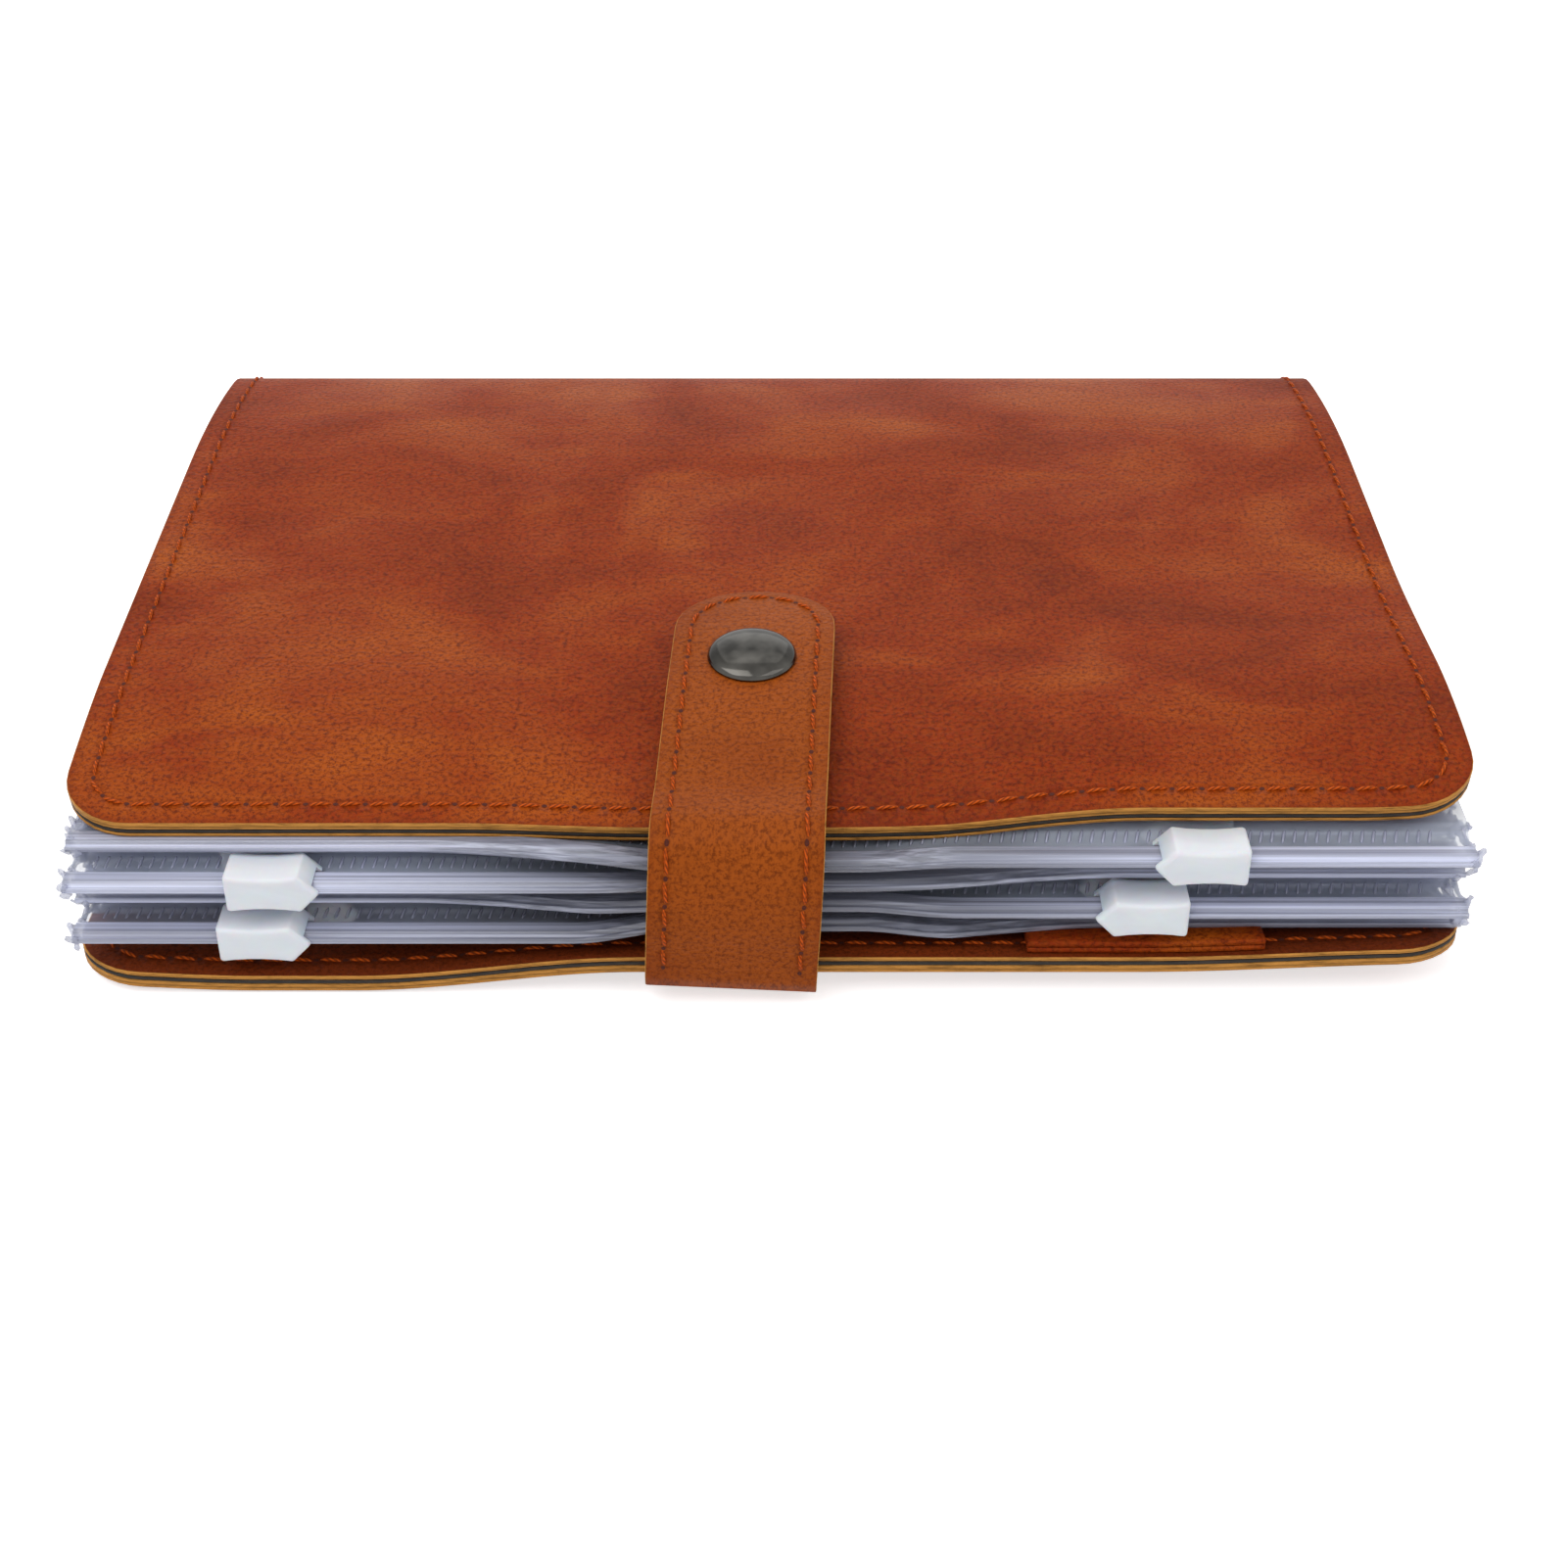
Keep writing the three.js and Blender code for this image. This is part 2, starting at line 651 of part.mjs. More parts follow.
function addRings() {
  const facet = Math.cos((Math.PI - slope) / spineSteps / 2);
  const linedRadius = (spineRadius - coverThickness) * facet;
  const plateY = spineY + Math.sqrt(linedRadius ** 2 - plateHalfHeight ** 2) - plateSeat;
  const railY = plateY - railSeat - railThickness;
  const rootTurn = Math.acos((railY - railSeat - ringWire - spineY) / ringRadius);
  const frontTurn = Math.PI - ringJoint / 2 / ringRadius;

  const arch = (depth, height, turns) => {
    return turns.map((turn) => [plateY - depth * Math.cos(turn), spineZ + height * Math.sin(turn)]);
  };
  const turns = [-90, -66, -42, -16, 16, 42, 66, 90].map(radians);
  const section = [
    ...arch(plateDepth, plateHalfHeight, turns),
    ...arch(plateDepth - plateWall, plateHalfHeight - plateWall, [...turns].reverse()),
  ];
  const slotTurns = [0.35, 1, 1.85].map((share) => share * rootTurn);
  const slots = ringStations.flatMap((x) =>
    [1, -1].map((side) => {
      return ringArc(x, ringWire + boreClearance, 6, slotTurns.map((turn) => side * turn));
    }),
  );
  const plate = sweep(section, [-plateHalfLength, plateHalfLength], alongX);
  addPiece("ring_plate", cutOut(plate, [...slots, ...rivetHoles]), steel);

  const railTop = plateHalfHeight - plateWall - railInset;
  for (const [name, side] of [["upper", 1], ["lower", -1]]) {
    const strip = [
      [railY, spineZ + side * railSeat],
      [railY + railThickness, spineZ + side * railSeat],
      [railY + railThickness, spineZ + side * railTop],
      [railY, spineZ + side * railTop],
    ];
    addPiece(`hinge_rail_${name}`, sweep(strip, [-railHalfLength, railHalfLength], alongX), steel);
    ringStations.forEach((x, k) => {
      const ringTurns = [rootTurn, ...steps(rootTurn, frontTurn, 7)].map((turn) => side * turn);
      addPiece(`ring_${k + 1}_${name}`, ringArc(x, ringWire, 6, ringTurns), chrome);
    });
  }

  const boardFace = (spineRadius - skinThickness - layerGap) * facet - layerGap;
  const headY = plateY - plateDepth - layerGap;
  const shankEnd = spineY + boardFace - headY;
  for (const [name, x] of [["left", -rivetX], ["right", rivetX]]) {
    const rivet = turned(
      [
        [0, -rivetHeadHeight],
        [rivetHead * 0.6, -rivetHeadHeight * 0.8],
        [rivetHead, -0.2],
        [rivetHead, 0],
        [rivetShank, 0],
        [rivetShank, shankEnd],
        [0, shankEnd],
      ],
      12,
    );
    addPiece(`plate_rivet_${name}`, rivet.rotateX(-Math.PI / 2).translate(x, headY, spineZ), steel);
  }
}

// Pouches from the bottom up: the row that the zip lies in, its side and its slider's middle
const frontSliderY = foreEdgeY - foreEdgeClearance - sliderDepth / 2;
const backSliderY = frontSliderY + rowSpacing;
const pouches = [
  { row: "back", sliderX: -62.5 },
  { row: "front", sliderX: -67.5 },
  { row: "back", sliderX: 48.5 },
  { row: "front", sliderX: 49.8 },
  { row: "back", sliderX: -68.1 },
  { row: "front", sliderX: -65.5 },
  { row: "back", sliderX: 56.3 },
  { row: "front", sliderX: 57 },
].map((pouch, k) => {
  const tier = Math.floor(k / 2);
  const back = pouch.row === "back";
  return {
    ...pouch,
    name: `pouch_${k + 1}`,
    side: Math.sign(pouch.sliderX),
    order: k,
    zipZ: back ? backBase + tier * backPitch : frontBase + tier * frontPitch,
    underZ: backBase + tier * backPitch,
    sliderY: back ? backSliderY : frontSliderY,
  };
});
const trackOffset = -sliderDepth / 2 + sliderFrontWall + trackClearance + trackDepth / 2;
const ringFrontY = spineY - ringRadius;
const pinchRight = [pinchCore, pinchMiddle, pinchHalfWidth];
const pinchColumns = [...pinchRight.map((x) => -x).reverse(), 0, ...pinchRight];
const pouchColumns = [-pouchHalf, ...pinchColumns, pouchHalf];

// The strap squeezes the zips together at the middle
const pinchShare = (x) => 1 - smooth(pinchCore, pinchHalfWidth, Math.abs(x));
const pinched = (x, z, share) => {
  return pinchHeight + (z - pinchHeight) * (1 - pinchSqueeze * pinchShare(x) * share);
};

// The height of a pouch's film: level with its zip, over the zip below it, then into the rings' stack
function filmZ(pouch, x, y) {
  const settle = backSliderY + sliderDepth / 2 + slotClearance;
  const frontFace = frontSliderY + sliderDepth / 2;
  const step = filmClearance + filmHalf;
  let z = pouch.zipZ;
  if (pouch.row === "front") {
    const overSlider = pouch.underZ + sliderHalf + step;
    const overTrack = pouch.underZ + trackHalf + step;
    const lowerSide = Math.sign(pouches[pouch.order - 1].sliderX);
    const crossed = mix(overTrack, overSlider, smooth(-filmCrossHalf, filmCrossHalf, lowerSide * x));
    if (y > frontFace + 0.01) z = crossed;
  }
  const stackZ = spineZ + (pouch.order - (pouches.length - 1) / 2) * bindingPitch;
  const settled = mix(z, stackZ, smooth(settle, filmSettleY, y));
  return pinched(x, settled, 1 - smooth(settle, settle + pinchFade, y));
}

function addPouch(pouch) {
  const trackY = pouch.sliderY + trackOffset;
  const filmFrontY = trackY + trackDepth / 2 + trackClearance;
  const settle = backSliderY + sliderDepth / 2 + slotClearance;
  const frontFace = frontSliderY + sliderDepth / 2;
  const crossing = [filmFrontY, frontFace, backSliderY - sliderDepth / 2 - slotClearance];
  const rows = [
    ...(pouch.row === "front" ? crossing : [filmFrontY]),
    settle,
    ...steps(settle, filmSettleY, 4),
    ringFrontY + bindingMargin,
  ];
  const filmFace = (offset) => (x, y) => {
    const shift = y < settle ? pinchShift * pinchShare(x) : 0;
    return [x, y + shift, filmZ(pouch, x, y) + offset];
  };
  const film = gridSheet(pouchColumns, rows, filmFace(filmHalf), filmFace(-filmHalf));
  const stackZ = filmZ(pouch, 0, ringFrontY);
  const holes = ringStations.map((x) => {
    return roundBar(holeRadius, stackZ - 1, stackZ + 1, 7).translate(x, ringFrontY, 0);
  });
  addPiece(`${pouch.name}_film`, cutOut(film, holes), clearFilm);

  const half = trackDepth / 2;
  const edge = [
    [-half, trackLip],
    [-half + trackLipDepth, trackLip],
    [-half + trackLipDepth + trackSlope, trackHalf],
    [half - trackBackSlope, trackHalf],
    [half, trackLip],
  ];
  const section = [...edge, ...[...edge].reverse().map(([u, v]) => [u, -v])];
  const track = sweep(section, pouchColumns, (x, u, v) => {
    return [x, trackY + pinchShift * pinchShare(x) + u, pinched(x, pouch.zipZ, 1) + v];
  });
  addPiece(`${pouch.name}_zip`, track, clearTrack);
  addPiece(`${pouch.name}_slider`, sliderShape(-pouch.side), milkyPlastic).position.set(
    pouch.sliderX,
    pouch.sliderY,
    pouch.zipZ,
  );
}

// A slider: a waisted block that points at the pouch's middle, hollow over the track and slit for the film
function sliderShape(pointing) {
  const half = sliderLength / 2;
  const outline = [
    [-half, -sliderHalf],
    [0, sliderWaist - sliderHalf],
    [half - sliderPoint, -sliderHalf],
    [half, 0],
    [half - sliderPoint, sliderHalf],
    [0, sliderHalf - sliderWaist],
    [-half, sliderHalf],
  ];
  const shape = new THREE.Shape(outline.map(([x, y]) => new THREE.Vector2(pointing * x, y)));
  const block = new THREE.ExtrudeGeometry(shape, {
    depth: sliderDepth - 2 * sliderBevel,
    bevelThickness: sliderBevel,
    bevelSize: sliderBevel,
    bevelOffset: -sliderBevel,
    bevelSegments: 1,
  });
  block.translate(0, 0, sliderBevel - sliderDepth / 2).rotateX(Math.PI / 2);
  const channelFront = -sliderDepth / 2 + sliderFrontWall;
  const channelBack = channelFront + trackDepth + 2 * trackClearance;
  const channelHalf = trackHalf + trackClearance;
  const slotHalf = filmHalf + slotClearance;
  const channel = [
    [channelFront, -channelHalf],
    [channelBack, -channelHalf],
    [channelBack, -slotHalf],
    [sliderDepth, -slotHalf],
    [sliderDepth, slotHalf],
    [channelBack, slotHalf],
    [channelBack, channelHalf],
    [channelFront, channelHalf],
  ];
  return cutOut(block, [sweep(channel, [-sliderLength, sliderLength], alongX)]);
}

addCover();
addPenLoop();
addStrap();
addSnap();
addRings();
pouches.forEach(addPouch);

export default binder;
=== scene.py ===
# Closed ring binder notebook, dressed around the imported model. Metres, in the model's own frame.
import math
import random
from bisect import bisect_right

import bmesh
import bpy
from bpy.props import FloatProperty, FloatVectorProperty, IntProperty, PointerProperty
from mathutils import Matrix, Vector


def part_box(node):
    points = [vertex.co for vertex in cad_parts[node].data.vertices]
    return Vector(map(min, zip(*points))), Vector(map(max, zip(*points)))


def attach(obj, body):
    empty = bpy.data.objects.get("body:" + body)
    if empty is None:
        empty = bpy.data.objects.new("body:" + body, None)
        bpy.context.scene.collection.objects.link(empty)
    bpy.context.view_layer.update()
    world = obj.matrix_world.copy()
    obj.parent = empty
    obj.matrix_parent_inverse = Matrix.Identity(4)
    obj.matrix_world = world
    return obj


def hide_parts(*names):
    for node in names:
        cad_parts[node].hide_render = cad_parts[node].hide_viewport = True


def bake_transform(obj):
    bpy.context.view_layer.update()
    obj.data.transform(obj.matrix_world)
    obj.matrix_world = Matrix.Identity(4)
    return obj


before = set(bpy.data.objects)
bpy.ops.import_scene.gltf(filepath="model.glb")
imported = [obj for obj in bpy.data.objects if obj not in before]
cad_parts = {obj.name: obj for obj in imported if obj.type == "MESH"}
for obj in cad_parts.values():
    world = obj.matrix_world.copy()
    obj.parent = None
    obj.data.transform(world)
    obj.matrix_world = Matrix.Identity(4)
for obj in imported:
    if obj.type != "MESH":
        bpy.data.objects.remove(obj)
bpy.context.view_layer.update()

bl_info = {
    "name": "Ring Binder Notebook",
    "version": (1, 0, 0),
    "blender": (4, 5, 0),
    "location": "3D View > Sidebar > Binder",
    "description": "Builds a closed ring binder with zip pouches and a snap strap",
    "category": "Object",
}

MM = 0.001

# Cover sheet, in millimetres as the part's source has them
COVER_HALF = (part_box("outer_cover")[1][0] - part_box("outer_cover")[0][0]) / 2 / MM
COVER_CORNER = 10
SKIN = 1.2
BOARD = 0.6
LINING = 0.6
LAYER_GAP = 0.05
COVER = SKIN + BOARD + LINING + 2 * LAYER_GAP
FORE_Y = -65
FORE_Z = 23.6
BACK_FORE_Y = -71
TILT = math.radians(3)
DROOP_LENGTH = 31
DROOP_DEPTH = 2.8
FLAT_END = 92
SHOULDER_RADIUS = 180
SLOPE = math.radians(8.5)
SHOULDER_END = FLAT_END + SHOULDER_RADIUS * (TILT + SLOPE)
FLAT_END_Y = FORE_Y + FLAT_END * math.cos(TILT)
FLAT_END_Z = FORE_Z + DROOP_DEPTH + FLAT_END * math.sin(TILT)
SHOULDER_END_Y = FLAT_END_Y + SHOULDER_RADIUS * (math.sin(TILT) + math.sin(SLOPE))
SHOULDER_END_Z = FLAT_END_Z - SHOULDER_RADIUS * (math.cos(TILT) - math.cos(SLOPE))
SPINE_RADIUS = SHOULDER_END_Z / (1 + math.cos(SLOPE))
SPINE_Y = SHOULDER_END_Y - SPINE_RADIUS * math.sin(SLOPE)
SPINE_END = SHOULDER_END + SPINE_RADIUS * (math.pi - SLOPE)
COVER_END = SPINE_END + SPINE_Y - BACK_FORE_Y

# Bends of the soft cover at its fore-edges: heights, and where along it each begins and is whole
FRONT_DIP = 0.7
FRONT_LIFT = 2.5
FRONT_CURL = 0.7
DIP_STARTS = (-42, -16)
DIP_ENDS = (8, 38)
LIFT_STARTS = (20, 50)
CURL_STARTS = (78, 95)
FRONT_BOW_END = 62
BACK_LIFT = 3.2
RIGHT_CURL = 1.4
LEFT_CURL = 1.0
BACK_LIFT_STARTS = (-56, -18)
RIGHT_CURL_STARTS = (50, 92)
LEFT_CURL_STARTS = (70, 95)
BACK_BOW_END = 22
ROOT_BED = 1.1
ROOT_BED_END = 33
ROOT_LIFT_HOLDS = 35
ROOT_LIFT_END = 57

# Strap, snap and pen loop
STRAP_HALF = 11.5
STRAP = 1.85
STRAP_X = -5
STRAP_SKEW = 3.5
STRAP_LIFT = 2.15
FOLD_RADIUS = 0.6
FOLD_Y = -71.9
FOLD_RAISED = 1.2
FOLD_TWIST = 1.3
SEAM_PAST_FOLD = 3.2
STRAP_STEP = 0.8
STANDING_Y = -72.5
STANDING_Z = 2.75
STRAP_REACH = 49
STRAP_RISE = 1.8
SNAP_REACH = 30
CAP_RADIUS = 6.3
CAP_HEIGHT = 2
CAP_STEM = 1.3
CAP_STEM_DEPTH = 1.6
CAP_RIM = ((0.5, 0.0), (0.18, 0.05), (0.0, 0.26), (0.04, 0.42), (0.18, 0.58))
DOME_INSET = 0.18
DOME_BASE = 0.55
LOOP_CENTRE = 51
LOOP_HALF = 16
LOOP_LAYER = 0.85
LOOP_SLIT = 0.2
LOOP_DEPTH = 9
LOOP_WORN = 0.12
LOOP_STANDS = 0.1
LOOP_SKEW = 0.4
LOOP_FLAT = 0.4
SLIT_END = 0.6
SLIT_BEND = 0.1

# Rings
RING_X = (-63.5, -44.45, -25.4, 25.4, 44.45, 63.5)
RING_RADIUS = 9.5
RING_WIRE = 1.3
RING_ROOT_TURN = 0.62
RING_GAP = 0.05
RING_STEP = 0.08
RING_SIDES = 20
RING_END_SHARE = 0.9

# Pouches from the bottom up
SLIDER_X = (-62.5, -67.5, 48.5, 49.8, -68.1, -65.5, 56.3, 57.0)
ZIP_Z = (6.0, 8.1, 10.4, 12.3, 14.8, 16.5, 19.2, 20.7)
FRONT_SLIDER_Y = -68.35
BACK_SLIDER_Y = -58.85
SLIDER_LENGTH = 12.6
SLIDER_HEIGHT = 5.8
SLIDER_DEPTH = 6.3
TRACK_DEPTH = 3.9
TRACK_HALF = 0.95
TRACK_SHIFT = -0.2
POUCH_HALF = 93.5
PINCH_HALF = 26
PINCH_CORE = 12
PINCH_Z = 14
PINCH_SHARE = 0.22
FAN_DEPTH = 4.2
FAN_STARTS = (10, 48)
FAN_DROP = 0.12
FILM_OVER = 0.275
FILM_IN_TRACK = 0.3
STACK_MIDDLE = 3.5
RIPPLE = 0.10
SETTLE_Y = -55.4
STACKED_Y = 20
FILM_REAR_Y = 56.7
STACK_PITCH = 1.1


def shade(red, green, blue):
    """A colour given as it shows on a screen, from 0 to 255, for a shader."""
    return tuple(((value / 255 + 0.055) / 1.055) ** 2.4 for value in (red, green, blue))


def colour_property(name, description, default):
    return FloatVectorProperty(name=name, description=description, default=default, size=3,
                               min=0, max=1, subtype="COLOR")


def length_property(name, description, default):
    return FloatProperty(name=name, description=description, default=default, min=0, precision=5,
                         unit="LENGTH")


class BinderSizes(bpy.types.PropertyGroup):
    """Sizes of the binder's fine work"""
    stitch_pitch: length_property("Stitch pitch", "From one needle hole to the next", 0.0040)
    cover_inset: length_property("Cover seam inset", "From the cover's edge to its seam", 0.0036)
    strap_inset: length_property("Strap seam inset", "From the strap's edge to its seam", 0.0024)
    thread_radius: length_property("Thread radius", "Half the thread's thickness", 0.00026)
    tooth_pitch: length_property("Film mark pitch", "Spacing of the marks pressed in the film", 0.0015)
    grid_step: length_property("Sheet step", "Spacing of the points on the cover and strap", 0.0022)
    seed: IntProperty(name="Seed", description="Start of the small irregularities", default=7, min=0)


class BinderColours(bpy.types.PropertyGroup):
    """Colours of the binder's materials"""
    leather_dark: colour_property("Leather, dark", "Red-brown clouds", shade(124, 42, 12))
    leather: colour_property("Leather", "Main colour of the cover", shade(152, 54, 10))
    leather_light: colour_property("Leather, light", "Tan clouds", shade(178, 84, 18))
    strap_dark: colour_property("Strap, dark", "Darker clouds of the strap", shade(144, 62, 14))
    strap: colour_property("Strap", "Main colour of the strap", shade(162, 78, 20))
    lining: colour_property("Lining", "Lining leather", shade(122, 50, 18))
    cut_edge: colour_property("Cut edge", "Raw edge of the leather", shade(206, 144, 70))
    board: colour_property("Board", "Stiffener between the leathers", shade(44, 38, 32))
    thread: colour_property("Thread", "Sewing thread", shade(190, 80, 14))
    film: colour_property("Film", "Clear pouch film", shade(192, 201, 218))
    zip_track: colour_property("Zip track", "Clear zip track", shade(196, 200, 222))
    slider: colour_property("Slider", "Milky zip slider", shade(240, 243, 250))
    # Painted reflection: the polished cap's dark grey stands in for the dark surroundings it would reflect.
    cap: colour_property("Cap", "Dark polished snap cap", shade(88, 86, 82))
    chrome: colour_property("Chrome", "Rings", shade(205, 204, 200))
    steel: colour_property("Steel", "Ring plate and rivets", shade(186, 188, 190))


def smooth(low, high, value):
    t = min(1.0, max(0.0, (value - low) / (high - low)))
    return t * t * (3 - 2 * t)


def mix(a, b, t):
    return a + (b - a) * t


def steps(low, high, step):
    """Even values from low to high, no further apart than a step."""
    count = max(1, math.ceil((high - low) / step))
    return [mix(low, high, k / count) for k in range(count + 1)]


def back_run(y):
    """The run at which the back cover passes a place."""
    return SPINE_END + SPINE_Y - y


def cover_profile(run):
    """Place and heading of the cover's outer face at a run from the front cover's fore-edge."""
    if run <= FLAT_END:
        left = max(0.0, 1 - run / DROOP_LENGTH)
        heading = TILT + math.atan(1.5 * DROOP_DEPTH * math.sqrt(left) / DROOP_LENGTH)
        z = FORE_Z + DROOP_DEPTH + run * math.sin(TILT) - DROOP_DEPTH * left ** 1.5
        return FORE_Y + run * math.cos(TILT), z, heading
    if run <= SHOULDER_END:
        heading = TILT - (run - FLAT_END) / SHOULDER_RADIUS
        y = FLAT_END_Y + SHOULDER_RADIUS * (math.sin(TILT) - math.sin(heading))
        return y, FLAT_END_Z - SHOULDER_RADIUS * (math.cos(TILT) - math.cos(heading)), heading
    if run <= SPINE_END:
        heading = -SLOPE - (run - SHOULDER_END) / SPINE_RADIUS
        y = SPINE_Y - SPINE_RADIUS * math.sin(heading)
        return y, SPINE_RADIUS + SPINE_RADIUS * math.cos(heading), heading
    return SPINE_Y - (run - SPINE_END), 0.0, -math.pi


def front_bow(x, run):
    """How far the front cover's fore-edge dips at the strap and lifts over the right zips."""
    dip = -FRONT_DIP * smooth(*DIP_STARTS, x) * (1 - smooth(*DIP_ENDS, x))
    lift = FRONT_LIFT * smooth(*LIFT_STARTS, x) + FRONT_CURL * smooth(*CURL_STARTS, x)
    return (dip + lift) * (1 - smooth(COVER_CORNER, FRONT_BOW_END, run))


def back_bow(x, y):
    """How far the back cover lifts over the strap's root and at its fore corners."""
    off_strap = abs(x - STRAP_X)
    over_strap = STRAP_LIFT * (1 - smooth(STRAP_HALF + ROOT_BED, STRAP_HALF + ROOT_BED_END, off_strap))
    over_strap *= 1 - smooth(BACK_FORE_Y + ROOT_LIFT_HOLDS, BACK_FORE_Y + ROOT_LIFT_END, y)
    middle = BACK_LIFT * smooth(*BACK_LIFT_STARTS, x)
    corners = RIGHT_CURL * smooth(*RIGHT_CURL_STARTS, x) + LEFT_CURL * smooth(*LEFT_CURL_STARTS, -x)
    near_edge = 1 - smooth(BACK_FORE_Y, BACK_FORE_Y + BACK_BOW_END, y)
    return max(over_strap, (middle + corners) * near_edge)


def cover_place(x, run, depth):
    """A point of the cover at a depth under its outer face."""
    y, z, heading = cover_profile(run)
    if run < SHOULDER_END:
        bow = front_bow(x, run)
    elif run < SPINE_END:
        bow = 0.0
    else:
        bow = back_bow(x, y)
    return Vector((x, y + depth * math.sin(heading), z - depth * math.cos(heading) + bow)) * MM


class Surface:
    """Points, faces and what the materials read from them, gathered before a mesh is made."""

    def __init__(self):
        self.points = []
        self.faces = []
        self.spots = []
        self.rims = []
        self.walls = []
        self.slots = []

    def add(self, point, spot=(0.0, 0.0), rim=1.0, wall=0.0):
        self.points.append(tuple(point))
        self.spots.append(spot)
        self.rims.append(rim)
        self.walls.append(wall)
        return len(self.points) - 1

    def face(self, corners, slot=0):
        self.faces.append(tuple(corners))
        self.slots.append(slot)

    def tube(self, rings, slot=0, caps=True):
        """Faces between rings of as many points each."""
        sides = len(rings[0])
        for low, high in zip(rings, rings[1:]):
            for k in range(sides):
                after = (k + 1) % sides
                self.face((low[k], low[after], high[after], high[k]), slot)
        if caps:
            self.face(tuple(reversed(rings[0])), slot)
            self.face(tuple(rings[-1]), slot)

    def finish(self, name, materials, body="root", slot=None):
        """The object that the gathered points make, with shared points joined."""
        index = {}
        kept = []
        ids = []
        for number, point in enumerate(self.points):
            key = tuple(round(value * 1e6) for value in point)
            if key not in index:
                index[key] = len(kept)
                kept.append(number)
            ids.append(index[key])
        faces = []
        slots = []
        for corners, place in zip(self.faces, self.slots):
            loop = list(dict.fromkeys(ids[corner] for corner in corners))
            if len(loop) > 2:
                faces.append(loop)
                slots.append(place)
        mesh = bpy.data.meshes.new(name)
        mesh.from_pydata([self.points[number] for number in kept], [], faces)
        mesh.validate()
        for material in materials:
            mesh.materials.append(material)
        if len(mesh.polygons) == len(slots):
            mesh.polygons.foreach_set("material_index", slots)
        spots = mesh.uv_layers.new(name="Sheet").uv
        for loop in mesh.loops:
            spots[loop.index].vector = self.spots[kept[loop.vertex_index]]
        for label, values in (("rim", self.rims), ("wall", self.walls)):
            layer = mesh.attributes.new(label, "FLOAT", "POINT")
            layer.data.foreach_set("value", [values[number] for number in kept])
        mesh.shade_smooth()
        piece = bpy.data.objects.new(name, mesh)
        bpy.context.scene.collection.objects.link(piece)
        if body:
            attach(piece, body)
        return piece


def corner_steps(corner, count=9):
    """Distances into a rounded corner, closer together where it meets the straight edge."""
    return [corner * (1 - math.sin(k / count * math.pi / 2)) for k in range(count + 1)]


class Outline:
    """A sheet's outline: a rectangle with rounded ends, in millimetres across and along."""

    def __init__(self, half, start, end, start_corner, end_corner):
        self.half = half
        self.start = start
        self.end = end
        self.start_corner = start_corner
        self.end_corner = end_corner
        self.ends = ((start_corner, start, 1), (end_corner, end, -1))

    def inset(self, distance):
        return Outline(self.half - distance, self.start + distance, self.end - distance,
                       max(0.0, self.start_corner - distance), max(0.0, self.end_corner - distance))

    def corner_inset(self, off, corner):
        """How far a rounded corner cuts into the end at a place across the sheet."""
        into = max(0.0, abs(off) - (self.half - corner))
        return corner - math.sqrt(max(0.0, corner ** 2 - into ** 2))

    def at(self, off, row):
        """Where a row of the plain rectangle lies once the corners are rounded."""
        run = row
        for corner, end, sign in self.ends:
            along = (run - end) * sign
            if corner > 0 and along < corner:
                cut = self.corner_inset(off, corner)
                run = end + sign * (cut + along * (corner - cut) / corner)
        return run

    def outward(self, off, run):
        """The way out of the sheet from a place on its edge."""
        side = math.copysign(1.0, off)
        for corner, end, sign in self.ends:
            along = (run - end) * sign
            across = abs(off) - (self.half - corner)
            if along <= corner + 1e-6 and across >= -1e-6:
                if corner == 0:
                    return Vector((side, -sign))
                return Vector((side * max(across, 0.0), -sign * max(corner - along, 0.0))).normalized()
        if abs(off) > self.half - 1e-6:
            return Vector((side, 0.0))
        return Vector((0.0, -1.0 if run < (self.start + self.end) / 2 else 1.0))

    def rim(self, off, run):
        """The distance from the edge."""
        nearest = min(self.half - abs(off), run - self.start, self.end - run)
        for corner, end, sign in self.ends:
            along = corner - (run - end) * sign
            across = abs(off) - (self.half - corner)
            if along > 0 and across > 0:
                return corner - math.hypot(along, across)
        return nearest

    def grid(self, step):
        """Columns and rows, closer together in the rounded corners."""
        widest = max(self.start_corner, self.end_corner)
        straight = self.half - widest
        edge = [self.half - value for value in corner_steps(widest)] if widest else [self.half]
        inner = steps(-straight, straight, step) if straight > 0.01 else [0.0]
        columns = sorted({round(value, 5) for value in inner + edge + [-value for value in edge]})
        rows = steps(self.start + self.start_corner, self.end - self.end_corner, step)
        rows += [self.start + value for value in corner_steps(self.start_corner)]
        rows += [self.end - value for value in corner_steps(self.end_corner)]
        return columns, sorted({round(value, 5) for value in rows})

    def path(self, last_run):
        """Points along the edge, from the left side's last run round the start to the right side's."""
        corner = self.start_corner
        left = [(-self.half, run) for run in reversed(steps(self.start + corner, last_run, 0.5))]
        for angle in steps(0, 90, 6)[1:]:
            turn = math.radians(angle)
            off = -self.half + corner * (1 - math.cos(turn))
            left.append((off, self.start + corner * (1 - math.sin(turn))))
        middle = [(off, self.start) for off in steps(-self.half + corner, self.half - corner, 0.5)[1:]]
        return left + middle + [(-off, run) for off, run in reversed(left)][1:]


